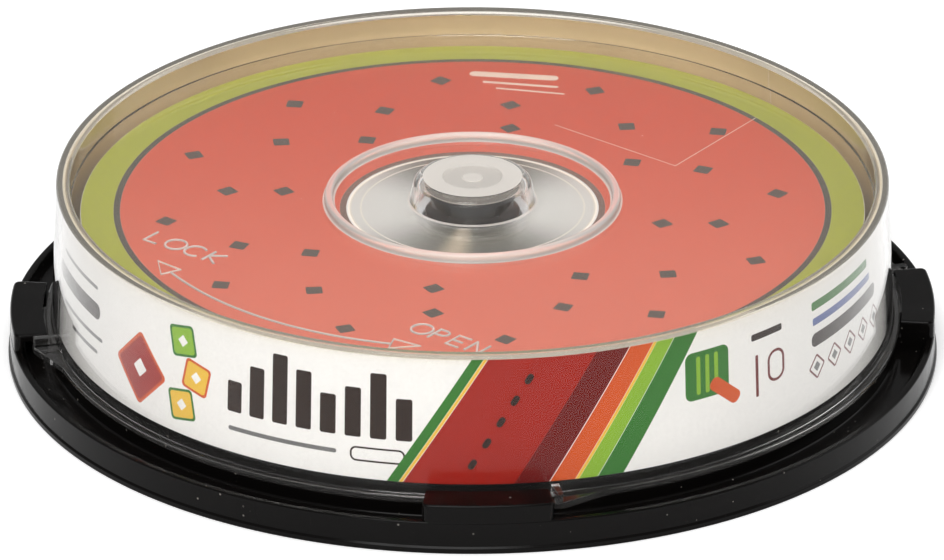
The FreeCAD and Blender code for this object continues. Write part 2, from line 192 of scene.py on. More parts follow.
# Row of upright bars: level of their feet, middle of the first, pitch, half width, corner and heights,
# and the two rules below them
CHART_FOOT = 6.6
CHART_START = -37.5
CHART_PITCH = 3.9
CHART_HALF = 1.25
CHART_CORNER = 0.35
CHART_HEIGHTS = (5.0, 8.2, 11.2, 9.4, 6.4, 8.0, 10.6, 6.8)
CHART_RULES = (
    ("grey", -29.5, 3.9, 9.0, 0.35, 0, 0.35, 0),
    ("ink", -14.2, 3.9, 4.2, 1.2, 0, 1.0, 0.3),
)

# Leaning stripes: their turn, middle up, half length and corner, and the ink, middle across and half
# width of each
STRIPE_TURN = 58
STRIPE_MIDDLE = 10.0
STRIPE_HALF = 40.0
STRIPE_CORNER = 0.1
STRIPES = (
    ("green", -5.6, 0.75), ("yellow", -4.4, 0.22), ("red", 4.2, 7.0), ("deep_red", 15.0, 2.2),
    ("orange", 19.6, 1.6), ("yellow", 21.8, 0.22), ("leaf", 23.5, 1.2), ("green", 27.0, 1.7),
)

# Dots along the widest stripe: their steps from its middle, half length and half width
DOT_STEPS = (-8.0, -4.0, 0.0, 4.0, 8.0)
DOT_HALF_LENGTH = 0.9
DOT_HALF_WIDTH = 0.5

# Row of small outlined diamonds: count, middle of the first, pitch and level, then half the side, the
# corner and the line of the outlines and of the filled cores
GEM_COUNT = 5
GEM_START = 60.0
GEM_PITCH = 4.9
GEM_LEVEL = 6.6
GEM_OUTLINE = (1.5, 0.4, 0.3)
GEM_CORE = (0.6, 0.1, 0)

# How strongly the plastics bend light, and the depths of smudges and of fine grain
PLASTIC_IOR = 1.49
SMUDGE_DEPTH = 0.2 * MM
GRAIN_DEPTH = 0.05 * MM

# The cover's finishes: tint, share of light let through, lowest and highest roughness, strength of its
# highlights, and sheen, which makes it milky where it is seen edge on
COVER_FINISHES = {
    "clear moulding": ("clear", 0.994, 0.02, 0.05, 0.18, 0.0),
    "hazy plate": ("hazy", 0.977, 0.03, 0.09, 0.22, 0.0),
    "cloudy moulding": ("cloudy", 0.78, 0.10, 0.20, 0.3, 0.0),
    "misty moulding": ("clear", 0.975, 0.05, 0.10, 0.5, 1.0),
    "frosted moulding": ("frosted", 0.12, 0.40, 0.50, 0.3, 0.0),
    # Painted shade: the dish's floor lets more of the dark post show through, so it reads darker
    "dished top": ("frosted", 0.30, 0.40, 0.50, 0.3, 0.0),
    # Milky raised signs and rib; also the painted highlight line at the dome's foot
    "milky moulding": ("milky", 0.52, 0.10, 0.18, 0.7, 0.0),
}

# Place and size of each lamp
LAMPS = {
    "key": (Vector((-0.14, -0.72, 0.9)), 0.7),
    "fill": (Vector((0.9, 0.3, 0.6)), 0.8),
    "top": (Vector((-0.1, 0.25, 1.2)), 0.9),
}

# Sines of the heights up to which the backdrop is white and from which the room is seen over it
BACKDROP_WHITE = 0.12
BACKDROP_END = 0.36

# Capitals: reach of the E's middle bar as a share of half the letter's width, and the C's opening
MIDDLE_BAR = 0.6
C_MOUTH = math.radians(90)

# Width of the image, the camera that was fitted to the circles in the photo, and how near it sees
IMAGE_WIDTH = 944
FOCAL_PIXELS = 13045.0
CAMERA_DISTANCE = 2.0
CAMERA_ELEVATION = math.radians(25.35)
CAMERA_ROLL = math.radians(-0.033)
CAMERA_TARGET = Vector((-0.087, 0.0, 11.40)) * MM
CAMERA_CLIP = 10 * MM


def length(name, description, millimetres):
    """Property for a length, given in millimetres."""
    return bpy.props.FloatProperty(
        name=name, description=description, default=millimetres * MM, min=0.0, precision=5, unit="LENGTH"
    )


def angle(name, description, degrees):
    """Property for an angle, given in degrees."""
    return bpy.props.FloatProperty(
        name=name, description=description, default=math.radians(degrees), unit="ROTATION"
    )


def share(name, description, default):
    """Property for a share from none to all."""
    return bpy.props.FloatProperty(
        name=name, description=description, default=default, min=0.0, max=1.0, subtype="FACTOR"
    )


def strength(name, description, default, unit="NONE"):
    """Property for the strength of a light."""
    return bpy.props.FloatProperty(
        name=name, description=description, default=default, min=0.0, unit=unit
    )


def colour(name, description, default):
    """Property for a colour in linear light."""
    return bpy.props.FloatVectorProperty(
        name=name, description=description, default=default, size=3, min=0.0, max=1.0, subtype="COLOR"
    )


class DiscSizes(bpy.types.PropertyGroup):
    """Sizes of one disc."""

    bore: length("Bore radius", "Radius of the hole that the post goes through", 7.5)
    ring_inner: length("Stacking ring inner radius", "Inner radius of the ring under the hub", 17.1)
    ring_width: length("Stacking ring width", "Width of the ring under the hub", 1.7)
    ring_height: length("Stacking ring height", "Height of the ring under the hub", 0.15)
    edge: length("Edge rounding", "Rounding of the disc's rims", 0.15)


class BaseSizes(bpy.types.PropertyGroup):
    """Sizes of the base with its post and ears."""

    wall: length("Wall", "Thickness of the base's moulding", 1.5)
    seat_step: length("Seat step", "Rise of the seat round the post over the platform", 0.4)
    seat_margin: length("Seat margin", "Width of the seat outside the stacking ring", 1.2)
    ledge_height: length("Ledge height", "Height of the ledge that the cover stands on", 5.4)
    skirt_height: length("Skirt height", "Height of the outer rim", 5.0)
    trough_depth: length("Trough depth", "Depth of the trough below the rim", 1.9)
    trough_width: length("Trough width", "Width of the trough's flat floor", 3.8)
    trough_slope: length("Trough slope", "Width of the slope from the trough up to the rim", 0.9)
    rim_width: length("Rim width", "Width of the outer rim's flat top", 1.1)
    drum_clearance: length("Drum clearance", "Gap between the paper step and the cover's wall", 0.6)
    ear_clearance: length("Ear clearance", "Gap between the ears and the cover's flange and tabs", 0.3)
    bead_reach: length("Bead reach", "How far the foot's bead stands out", 0.3)
    bead_height: length("Bead height", "Height of the foot's bead", 0.8)
    step_height: length("Paper step height", "Rise of the step under the paper over the ledge", 2.2)
    step_width: length("Paper step width", "Width of the step under the paper", 1.0)
    post_clearance: length("Post clearance", "Gap between the post and a disc's bore", 0.3)
    post_wall: length("Post wall", "Thickness of the hollow post's wall", 1.5)
    post_shoulder: length("Post shoulder", "Step inwards of the post's upper part", 1.05)
    shoulder_rise: length("Shoulder rise", "Height of the shoulder over the stack", 0.8)
    post_round: length("Post rounding", "Rounding of the post's top", 0.8)
    ear_length: length("Ear length", "Length of an ear along the rim", 20.0)
    ear_turn: angle("Ear turn", "Azimuth of the first ear's middle", 1.9)
    ear_roof: length("Ear roof", "Thickness of an ear's roof", 1.1)
    ear_wall: length("Ear wall", "Thickness of an ear's outer wall", 1.2)
    ear_end_wall: length("Ear end wall", "Thickness of the wall at an ear's closed end", 1.4)
    ear_corner: length("Ear corner", "Rounding of an ear's upright corners", 1.0)
    ear_edge: length("Ear edge", "Rounding of an ear's upper edge", 0.4)
    ear_inset: length("Ear inset", "How far an ear's wall stands back from the skirt", 0.06)


class CoverSizes(bpy.types.PropertyGroup):
    """Sizes of the cover with its dome, lugs and raised signs."""

    wall: length("Wall", "Thickness of the drafted wall", 1.0)
    draft: length("Draft", "How much wider the wall is at its foot", 1.0)
    plate: length("Plate", "Thickness of the plate over the discs", 1.1)
    headroom: length("Headroom", "Gap between the stack and the plate", 0.9)
    rim_gap: length("Rim gap", "How much wider the recess is than a disc", 1.5)
    rim_rise: length("Rim rise", "Height of the rim over the plate", 3.9)
    rim_wall: length("Rim inner wall", "Thickness of the rim's inner wall", 0.6)
    rim_roof: length("Rim roof", "Thickness of the rim's roof", 0.8)
    paper_slot: length("Paper slot", "Width of the slot that takes the paper", 0.5)
    flange_width: length("Flange width", "Reach of the flange outside the wall", 1.0)
    flange: length("Flange", "Thickness of the flange", 1.0)
    rib_radius: length("Rib radius", "Middle radius of the ring rib", 22.0)
    rib_width: length("Rib width", "Width of the ring rib", 1.3)
    rib_rise: length("Rib rise", "Height of the ring rib over the plate", 1.2)
    dome_foot: length("Dome foot radius", "Outer radius of the dome's foot", 9.7)
    dome_top: length("Dome top radius", "Outer radius of the dome's top", 8.8)
    dome_wall: length("Dome wall", "Thickness of the dome's wall and top", 1.1)
    dome_round: length("Dome rounding", "Rounding of the dome's upper edge", 1.5)
    dish: length("Dish radius", "Radius of the shallow dish in the dome's top", 4.6)
    dish_depth: length("Dish depth", "Depth of the dish", 0.3)
    gate: length("Gate radius", "Radius of the moulding mark in the dish", 1.6)
    gate_rise: length("Gate rise", "Height of the moulding mark", 0.15)
    tab: length("Tab", "Thickness of a tab under an ear", 0.9)
    tab_reach: length("Tab reach", "Reach of a tab outside the flange", 2.4)
    tab_length: length("Tab length", "Length of a tab along the flange", 13.5)
    lug_reach: length("Lug reach", "Reach of a lug outside the flange", 2.7)
    lug_length: length("Lug length", "Length of a lug's wedge along the flange", 10.5)
    lug_head: length("Lug head", "Length of a lug's full reach", 1.5)
    stop: length("Stop", "Thickness of the upright stop", 1.3)
    stop_gap: length("Stop gap", "Gap between a stop and its ear's mouth", 0.5)
    stop_corner: length("Stop corner", "Rounding of a stop's outer corner", 0.5)


class SignSizes(bpy.types.PropertyGroup):
    """Sizes of the raised words and the arrow on the cover."""

    height: length("Letter height", "Height of a capital", 3.8)
    stroke: length("Stroke", "Width of a letter's raised line", 0.42)
    aspect: share("Letter aspect", "Width of a capital as a share of its height", 0.7)
    azimuth: angle("Azimuth", "Direction that the words' feet face", -128.5)
    inset: length("Inset", "Distance of the words' middle line from the axis", 40.7)
    lock_offset: length("Lock offset", "How far the first word stands to the left", 23.2)
    lock_pitch: length("Lock pitch", "Spacing of the first word's letters", 3.8)
    open_offset: length("Open offset", "How far the second word stands to the right", 28.0)
    open_pitch: length("Open pitch", "Spacing of the second word's letters", 3.5)
    arrow_radius: length("Arrow radius", "Radius of the arrow's arc", 52.5)
    arrow_start: angle("Arrow start", "Azimuth of the arc's first end", -150.3)
    arrow_end: angle("Arrow end", "Azimuth of the arc's last end", -103.4)
    head_length: length("Head length", "Length of the arrow's heads", 4.4)
    head_width: length("Head width", "Width of the arrow's heads", 3.3)
    rise: length("Rise", "Height of the signs over the plate", 0.25)


class WrapSizes(bpy.types.PropertyGroup):
    """Sizes of the paper wrap."""

    paper: length("Paper", "Thickness of the paper", 0.25)
    wall_clearance: length("Wall clearance", "Gap between the paper and the cover's wall", 0.12)
    seam_gap: length("Seam gap", "Gap between the paper's two ends", 0.05)
    seam_azimuth: angle("Seam azimuth", "Azimuth of the paper's seam", 42.0)


class Finishes(bpy.types.PropertyGroup):
    """Colours of the mouldings, the paper and the prints, in linear light."""

    moulding: colour("Black moulding", "Colour of the base", (0.0036, 0.0031, 0.0029))
    dust: colour("Dust", "Colour of the specks on the base", (0.30, 0.28, 0.25))
    clear: colour("Clear moulding", "Tint of the cover", (0.985, 0.975, 0.96))
    hazy: colour("Hazy plate", "Tint of the cover's plate", (0.99, 0.955, 0.905))
    # Also tints the painted highlight line at the dome's foot
    milky: colour("Milky moulding", "Tint of the cover's frosted and raised places", (1.0, 0.93, 0.87))
    cloudy: colour("Cloudy rim", "Tint of the cover's rim", (0.88, 0.82, 0.71))
    frosted: colour("Frosted top", "Tint of the dome's frosted top", (0.80, 0.75, 0.69))
    paper: colour("Paper", "White ground of the wrap's print", (0.90, 0.895, 0.885))
    paper_back: colour("Paper back", "Unprinted inner side of the wrap", (0.62, 0.48, 0.29))
    ink: colour("Dark ink", "Dark brown of the prints", (0.022, 0.010, 0.006))
    grey: colour("Grey ink", "Grey of the thin rules", (0.16, 0.16, 0.16))
    red: colour("Red ink", "Red of the wrap's print", (0.33, 0.010, 0.003))
    deep_red: colour("Deep red ink", "Shaded red of the wrap's print", (0.14, 0.003, 0.002))
    orange: colour("Orange ink", "Orange of the wrap's print", (0.62, 0.09, 0.012))
    yellow: colour("Yellow ink", "Yellow of the wrap's print", (0.80, 0.50, 0.05))
    green: colour("Green ink", "Green of the wrap's print", (0.03, 0.17, 0.02))
    leaf: colour("Leaf ink", "Light green of the wrap's print", (0.24, 0.45, 0.03))
    blue: colour("Blue ink", "Blue of the wrap's print", (0.10, 0.14, 0.36))
    face_red: colour("Face red", "Red field of the disc's print", (0.57, 0.055, 0.016))
    # Painted haze: the paler red that the field turns to at the front
    face_red_painted_haze: colour("Face coral", "Paler red that the field runs out to", (0.64, 0.145, 0.095))
    face_shade: colour("Face shade", "Dark ring round the disc's clear middle", (0.16, 0.10, 0.09))
    face_pale: colour("Face pale", "Pale rules of the disc's print", (0.80, 0.66, 0.60))
    face_lime: colour("Face lime", "Green ring of the disc's print", (0.34, 0.385, 0.03))
    face_dark: colour("Face dark", "Dark marks of the disc's print", (0.055, 0.05, 0.045))
    # Pale colour of the clear middle's painted reflection, also the disc's colour outside the print and
    # the silver
    hub: colour("Hub", "Clear middle of the disc over the silver below", (0.80, 0.84, 0.90))
    # Painted shade of the clear middle's painted reflection, at its front and back
    hub_painted_shade: colour("Hub shade", "Darker sides of the clear middle", (0.14, 0.15, 0.145))
    # Painted reflection streak in the clear middle
    hub_painted_streak: colour("Hub streak", "Warm streak in the clear middle", (0.66, 0.60, 0.50))
    # Painted highlight rings at the stacking ring's edges
    hub_painted_glint: colour("Hub ring", "Thin bright rings round the clear middle", (0.95, 0.95, 0.93))
    silver: colour("Silver", "Recording side of the disc", (0.62, 0.66, 0.66))


class StageSizes(bpy.types.PropertyGroup):
    """The stage and its light."""

    floor: length("Floor", "Width of the pale floor", 4000.0)
    floor_colour: colour("Floor colour", "Colour of the floor", (0.90, 0.90, 0.90))
    lift: share("Lift", "How much whiter the floor is seen than lit", 0.32)
    world: strength("World light", "Strength of the even light", 0.44)
    room: strength("Room", "Strength of the room over the backdrop", 0.28)
    key: strength("Key light", "Power of the key lamp", 7.2, "POWER")
    fill: strength("Fill light", "Power of the fill lamp", 2.0, "POWER")
    top: strength("Top light", "Power of the top lamp", 2.0, "POWER")


GROUPS = {
    "box_disc": DiscSizes,
    "box_base": BaseSizes,
    "box_cover": CoverSizes,
    "box_signs": SignSizes,
    "box_wrap": WrapSizes,
    "box_finishes": Finishes,
    "box_stage": StageSizes,
}


def polar(radius, azimuth, height=0.0):
    """Point at a radius and azimuth round the box's axis."""
    return Vector((radius * math.cos(azimuth), radius * math.sin(azimuth), height))


def select_points(test):
    """Selects, in edit mode, the vertices whose place passes the test, and nothing else."""
    mesh = bpy.context.object.data
    shape = bmesh.from_edit_mesh(mesh)
    bpy.ops.mesh.select_all(action="DESELECT")
    bpy.ops.mesh.select_mode(type="VERT")
    for vertex in shape.verts:
        vertex.select_set(test(vertex.co))
    shape.select_flush_mode()
    bmesh.update_edit_mesh(mesh)


def select_edges(test):
    """Selects, in edit mode, the edges that pass the test, and nothing else."""
    mesh = bpy.context.object.data
    shape = bmesh.from_edit_mesh(mesh)
    bpy.ops.mesh.select_mode(type="EDGE")
    bpy.ops.mesh.select_all(action="DESELECT")
    for edge in shape.edges:
        edge.select_set(test(edge))
    bmesh.update_edit_mesh(mesh)


def start_piece(name, place):
    """New piece in edit mode: a small plane at a place, merged to one selected vertex."""
    bpy.ops.object.select_all(action="DESELECT")
    bpy.ops.mesh.primitive_plane_add(size=MM, location=place)
    piece = bpy.context.object
    piece.name = name
    piece.data.name = name
    bpy.ops.object.transform_apply(location=True, rotation=False, scale=False)
    bpy.ops.object.mode_set(mode="EDIT")
    bpy.ops.mesh.select_mode(type="VERT")
    bpy.ops.mesh.select_all(action="SELECT")
    bpy.ops.mesh.merge(type="CENTER")
    return piece


def draw(name, points, closed=True):
    """New piece in edit mode: one vertex extruded through the points."""
    piece = start_piece(name, points[0])
    for last, point in zip(points, points[1:]):
        bpy.ops.mesh.extrude_vertices_move(TRANSFORM_OT_translate={"value": point - last})
    if closed:
        ends = (points[0], points[-1])
        select_points(lambda place: min((place - end).length for end in ends) < WELD)
        bpy.ops.mesh.edge_face_add()
    return piece


def round_corners(points, corners):
    """Rounds the corners of the outline in edit mode that state a rounding."""
    count = len(points)
    for index, corner in enumerate(corners):
        if len(corner) == 2:
            continue
        here = points[index]
        back = points[index - 1] - here
        ahead = points[(index + 1) % count] - here
        reach = corner[2] / math.tan(back.angle(ahead) / 2)
        reach = min(reach, ROUND_SHARE * min(back.length, ahead.length))
        select_points(lambda place: (place - here).length < WELD)
        bpy.ops.mesh.bevel(offset=reach, segments=ROUND_STEPS, affect="VERTICES", clamp_overlap=True)


def outward():
    """Merges doubles and turns all faces outwards, in edit mode."""
    bpy.ops.mesh.select_mode(type="VERT")
    bpy.ops.mesh.select_all(action="SELECT")
    bpy.ops.mesh.remove_doubles(threshold=WELD)
    bpy.ops.mesh.normals_make_consistent(inside=False)


def turn(name, corners, closed):
    """Piece turned all round from its (radius, height, rounding) corners."""
    points = [polar(corner[0], 0.0, corner[1]) for corner in corners]
    piece = draw(name, points, closed)
    round_corners(points, corners)
    bpy.ops.mesh.select_all(action="SELECT")
    bpy.ops.mesh.spin(steps=TURN_STEPS, angle=2 * math.pi, center=(0, 0, 0), axis=UP)
    outward()
    bpy.ops.object.mode_set(mode="OBJECT")
    return piece


def sweep(name, corners, start, span):
    """Piece swept anticlockwise from its sharp (radius, height) corners, left in edit mode.

    The spin operator takes a clockwise angle as positive.
    """
    piece = draw(name, [polar(radius, start, height) for radius, height in corners])
    bpy.ops.mesh.select_all(action="SELECT")
    steps = max(2, round(TURN_STEPS * span / (2 * math.pi)))
    bpy.ops.mesh.spin(steps=steps, angle=-span, center=(0, 0, 0), axis=UP)
    bpy.ops.mesh.select_all(action="SELECT")
    bpy.ops.mesh.fill_holes(sides=0)
    outward()
    return piece


def leave_edit():
    """Ends edit mode and gives the piece that was edited."""
    bpy.ops.object.mode_set(mode="OBJECT")
    return bpy.context.object


def pick(piece):
    """Selects one piece alone and makes it the active one."""
    bpy.ops.object.select_all(action="DESELECT")
    piece.select_set(True)
    bpy.context.view_layer.objects.active = piece


def join(pieces):
    """One piece of several, named as the first."""
    pick(pieces[0])
    for piece in pieces:
        piece.select_set(True)
    bpy.ops.object.join()
    return pieces[0]


def unite(piece, parts, crossing=False):
    """Unites parts with a piece into one closed skin. Crossing is for parts that cut each other."""
    part = join(parts)
    pick(piece)
    union = piece.modifiers.new("union", "BOOLEAN")
    union.operation = "UNION"
    union.solver = "EXACT"
    union.use_self = crossing
    union.object = part
    bpy.ops.object.modifier_apply(modifier=union.name)
    bpy.data.objects.remove(part)
    bpy.ops.object.mode_set(mode="EDIT")
    outward()
    return leave_edit()


def finish(piece, node, body):
    """Smooths a piece by angle, keeps its flat faces flat and puts it in its node's place."""
    pick(piece)
    bpy.ops.object.shade_smooth_by_angle(angle=SMOOTH_ANGLE)
    flats = piece.modifiers.new("flats", "WEIGHTED_NORMAL")
    flats.keep_sharp = True
    bpy.ops.object.modifier_apply(modifier=flats.name)
    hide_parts(node)
    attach(piece, body)


def shared(scene):
    """Heights and radii that several pieces share, from the frame and the sizes."""
    disc, base, cover = scene.box_disc, scene.box_base, scene.box_cover
    own = SimpleNamespace()
    own.disc = STACK_HIGH.x
    own.seat = STACK_LOW.z
    own.stack_top = STACK_HIGH.z
    own.platform = own.seat - base.seat_step
    own.trough = base.skirt_height - base.trough_depth
    own.step_top = base.ledge_height + base.step_height
    own.flange_bottom = COVER_LOW.z
    own.flange_top = own.flange_bottom + cover.flange
    own.plate_bottom = own.stack_top + cover.headroom
    own.plate_top = own.plate_bottom + cover.plate
    own.rim_top = own.plate_top + cover.rim_rise
    own.slot_top = own.rim_top - cover.rim_roof
    own.dome_top = COVER_HIGH.z
    own.dome_ceiling = own.dome_top - cover.dish_depth - cover.dome_wall
    own.post_top = BASE_HIGH.z
    own.shoulder = own.stack_top + base.shoulder_rise
    own.rim_inner = own.disc + cover.rim_gap
    own.slot_inner = own.rim_inner + cover.rim_wall
    own.cover_top = own.slot_inner + cover.paper_slot + cover.wall
    own.cover_foot = own.cover_top + cover.draft
    own.fall = cover.draft / (own.rim_top - own.flange_top)
    own.flange = own.cover_foot + cover.flange_width
    own.lug = own.flange + cover.lug_reach
    own.base = BASE_HIGH.x - base.bead_reach
    own.well = own.base - base.rim_width
    own.trough_outer = own.well - base.trough_slope
    own.ledge = own.trough_outer - base.trough_width
    own.step = own.cover_foot - cover.wall - base.drum_clearance
    own.platform_radius = own.step - base.step_width
    own.seat_radius = disc.ring_inner + disc.ring_width + base.seat_margin
    own.post = disc.bore - base.post_clearance
    own.post_upper = own.post - base.post_shoulder
    own.ear_inner = own.flange + base.ear_clearance
    own.ear_outer = own.base - base.ear_inset
    own.ear_bottom = own.flange_bottom + cover.tab + base.ear_clearance
    own.ear_top = own.ear_bottom + base.ear_roof
    own.ear_span = base.ear_length / own.base
    own.ear_start = base.ear_turn - own.ear_span / 2
    own.stop_start = base.ear_turn + own.ear_span / 2 + cover.stop_gap / own.lug
    return own


def base_corners(own, base):
    """Section of the base from the post's top down the outside and back up the inside."""
    wall = base.wall
    post_inner = own.post - base.post_wall
    upper_inner = own.post_upper - base.post_wall
    bead = own.base + base.bead_reach
    return [
        (0, own.post_top),
        (own.post_upper, own.post_top, base.post_round),
        (own.post_upper, own.shoulder + base.shoulder_rise, EDGE_ROUND),
        (own.post, own.shoulder, EDGE_ROUND),
        (own.post, own.seat, FINE_ROUND),
        (own.seat_radius, own.seat, CRISP_ROUND),
        (own.seat_radius, own.platform, FINE_ROUND),
        (own.platform_radius, own.platform, EDGE_ROUND),
        (own.platform_radius, own.step_top, FINE_ROUND),
        (own.step, own.step_top, EDGE_ROUND),
        (own.step, base.ledge_height, FINE_ROUND),
        (own.ledge, base.ledge_height, FINE_ROUND),
        (own.ledge, own.trough, SOFT_ROUND),
        (own.trough_outer, own.trough, SOFT_ROUND),
        (own.well, base.skirt_height, EDGE_ROUND),
        (own.base, base.skirt_height, EDGE_ROUND),
        (own.base, base.bead_height + base.bead_reach),
        (bead, base.bead_height, FINE_ROUND),
        (bead, 0, FINE_ROUND),
        (own.base - wall, 0, FINE_ROUND),
        (own.base - wall, own.trough - wall, EDGE_ROUND),
        (own.ledge - wall, own.trough - wall, FINE_ROUND),
        (own.ledge - wall, base.ledge_height - wall, FINE_ROUND),
        (own.step - wall, base.ledge_height - wall, FINE_ROUND),
        (own.step - wall, own.step_top - wall, FINE_ROUND),
        (own.platform_radius - wall, own.step_top - wall, FINE_ROUND),
        (own.platform_radius - wall, own.platform - wall, EDGE_ROUND),
        (own.seat_radius - wall, own.platform - wall, CRISP_ROUND),
        (own.seat_radius - wall, own.seat - wall, CRISP_ROUND),
        (post_inner, own.seat - wall, SOFT_ROUND),
        (post_inner, own.shoulder - base.shoulder_rise),
        (upper_inner, own.shoulder),
        (upper_inner, own.post_top - base.post_wall, EDGE_ROUND),
        (0, own.post_top - base.post_wall),
    ]


def cover_corners(own, cover):
    """Section of the cover from the dome's middle down the outside and back up the inside."""
    rib_outer = cover.rib_radius + cover.rib_width / 2
    rib_inner = cover.rib_radius - cover.rib_width / 2
    rib_top = own.plate_top + cover.rib_rise
    dish_floor = own.dome_top - cover.dish_depth
    foot_inner = own.cover_foot + own.fall * cover.flange - cover.wall
    slot_outer = own.cover_top + own.fall * cover.rim_roof - cover.wall
    return [
        (0, dish_floor + cover.gate_rise),
        (cover.gate - cover.gate_rise, dish_floor + cover.gate_rise),
        (cover.gate, dish_floor),
        (cover.dish - cover.dish_depth, dish_floor, FINE_ROUND),
        (cover.dish, own.dome_top, FINE_ROUND),
        (cover.dome_top, own.dome_top, cover.dome_round),
        (cover.dome_foot, own.plate_top, EDGE_ROUND),
        (rib_inner, own.plate_top, EDGE_ROUND),
        (rib_inner, rib_top, SOFT_ROUND),
        (rib_outer, rib_top, SOFT_ROUND),
        (rib_outer, own.plate_top, EDGE_ROUND),
        (own.rim_inner, own.plate_top, EDGE_ROUND),
        (own.rim_inner, own.rim_top, SOFT_ROUND),
        (own.cover_top, own.rim_top, SOFT_ROUND),
        (own.cover_foot, own.flange_top, FINE_ROUND),
        (own.flange, own.flange_top, EDGE_ROUND),
        (own.flange, own.flange_bottom, FINE_ROUND),
        (foot_inner, own.flange_bottom),
        (slot_outer, own.slot_top),
        (own.slot_inner, own.slot_top),
        (own.slot_inner, own.plate_bottom, CRISP_ROUND),
        (cover.dome_foot - cover.dome_wall, own.plate_bottom, EDGE_ROUND),
        (cover.dome_top - cover.dome_wall, own.dome_ceiling, SOFT_ROUND),
        (0, own.dome_ceiling),
    ]


def model_ear(own, base, azimuth):
    """Bridge over the trough: a roof and an outer wall, closed at its clockwise end."""
    start = azimuth + own.ear_start
    end = start + own.ear_span
    foot = base.skirt_height - OVERLAP
    wall_inner = own.ear_outer - base.ear_wall
    ear = sweep("ear", [
        (own.ear_inner, own.ear_bottom),
        (wall_inner, own.ear_bottom),
        (wall_inner, foot),
        (own.ear_outer, foot),
        (own.ear_outer, own.ear_top),
        (own.ear_inner, own.ear_top),
    ], start, own.ear_span)
    tops = (polar(own.ear_outer, start, own.ear_top), polar(own.ear_outer, end, own.ear_top))
    feet = (polar(own.ear_outer, start, foot), polar(own.ear_outer, end, foot))

    def corner(edge):
        places = [vertex.co for vertex in edge.verts]
        return any(
            min((places[0] - top).length, (places[1] - top).length) < WELD
            and min((places[0] - bottom).length, (places[1] - bottom).length) < WELD
            for top, bottom in zip(tops, feet)
        )

    def brow(edge):
        normals = [face.normal for face in edge.link_faces]
        middle = (edge.verts[0].co + edge.verts[1].co) / 2
        inwards = any(normal.dot(middle.normalized()) < INWARD_NORMAL for normal in normals)
        level = any(normal.z > LEVEL_NORMAL for normal in normals)
        return level and not inwards and any(abs(normal.z) < UPRIGHT_NORMAL for normal in normals)

    select_edges(corner)
    bpy.ops.mesh.bevel(offset=base.ear_corner, segments=ROUND_STEPS, affect="EDGES")
    select_edges(brow)
    bpy.ops.mesh.bevel(offset=base.ear_edge, segments=ROUND_STEPS, affect="EDGES")
    leave_edit()
    sweep("end_wall", [
        (own.ledge - OVERLAP, own.trough - OVERLAP),
        (own.well + OVERLAP, own.trough - OVERLAP),
        (own.well + OVERLAP, own.ear_bottom + OVERLAP),
        (own.ear_inner + WELD, own.ear_bottom + OVERLAP),
        (own.ear_inner + WELD, base.ledge_height - OVERLAP),
        (own.ledge - OVERLAP, base.ledge_height - OVERLAP),
    ], start + WELD / own.base, base.ear_end_wall / own.base)
    return unite(ear, [leave_edit()], crossing=True)


def model_lug(own, cover, azimuth):
    """Tab under the ear, wedge beside its mouth and upright stop between them."""
    root = own.cover_foot - OVERLAP
    start = azimuth + own.stop_start
    head_end = start + cover.lug_head / own.lug
    wedge_end = start + cover.lug_length / own.lug
    outline = [polar(own.lug, start), polar(own.lug, head_end), polar(own.flange - OVERLAP, wedge_end)]
    outline += [
        polar(root, wedge_end + (start - wedge_end) * step / LUG_STEPS) for step in range(LUG_STEPS + 1)
    ]
    wedge = draw("lug", [point + UP * (own.flange_bottom + SINK) for point in outline])
    bpy.ops.mesh.select_all(action="SELECT")
    bpy.ops.mesh.edge_face_add()
    bpy.ops.mesh.extrude_region_move(TRANSFORM_OT_translate={"value": UP * (cover.flange - 2 * SINK)})
    outward()

    def upper(edge):
        return min(vertex.co.z for vertex in edge.verts) > own.flange_top - 2 * SINK

    select_edges(upper)
    bpy.ops.mesh.bevel(offset=FINE_ROUND, segments=LUG_ROUND_STEPS, affect="EDGES")
    leave_edit()
    tab_top = own.flange_bottom + cover.tab
    tab_span = cover.tab_length / (own.flange + cover.tab_reach)
    stop_span = cover.stop / own.lug
    sweep("tab", [
        (root - SINK, own.flange_bottom + 2 * SINK),
        (own.flange + cover.tab_reach, own.flange_bottom + 2 * SINK),
        (own.flange + cover.tab_reach, tab_top),
        (root - SINK, tab_top),
    ], start - tab_span, tab_span + stop_span / 2)
    tab = leave_edit()
    sweep("stop", [
        (root - 2 * SINK, own.flange_bottom + 3 * SINK),
        (own.lug - SINK, own.flange_bottom + 3 * SINK),
        (own.lug - SINK, own.ear_top),
        (root - 2 * SINK, own.ear_top),
    ], start + SINK / own.lug, stop_span)

    def outer_corner(edge):
        rise = abs(edge.verts[0].co.z - edge.verts[1].co.z)
        reach = min(vertex.co.xy.length for vertex in edge.verts)
        return rise > MM and edge.calc_face_angle(0.0) > SMOOTH_ANGLE and reach > own.lug - 2 * SINK

    select_edges(outer_corner)
    bpy.ops.mesh.bevel(offset=cover.stop_corner, segments=ROUND_STEPS, affect="EDGES")
    return unite(wedge, [tab, leave_edit()], crossing=True)


def arc_turns(start, end, most):
    """Angles along an arc, no further apart than stated."""
    steps = math.ceil(abs(end - start) / most)
    return [start + (end - start) * step / steps for step in range(steps + 1)]


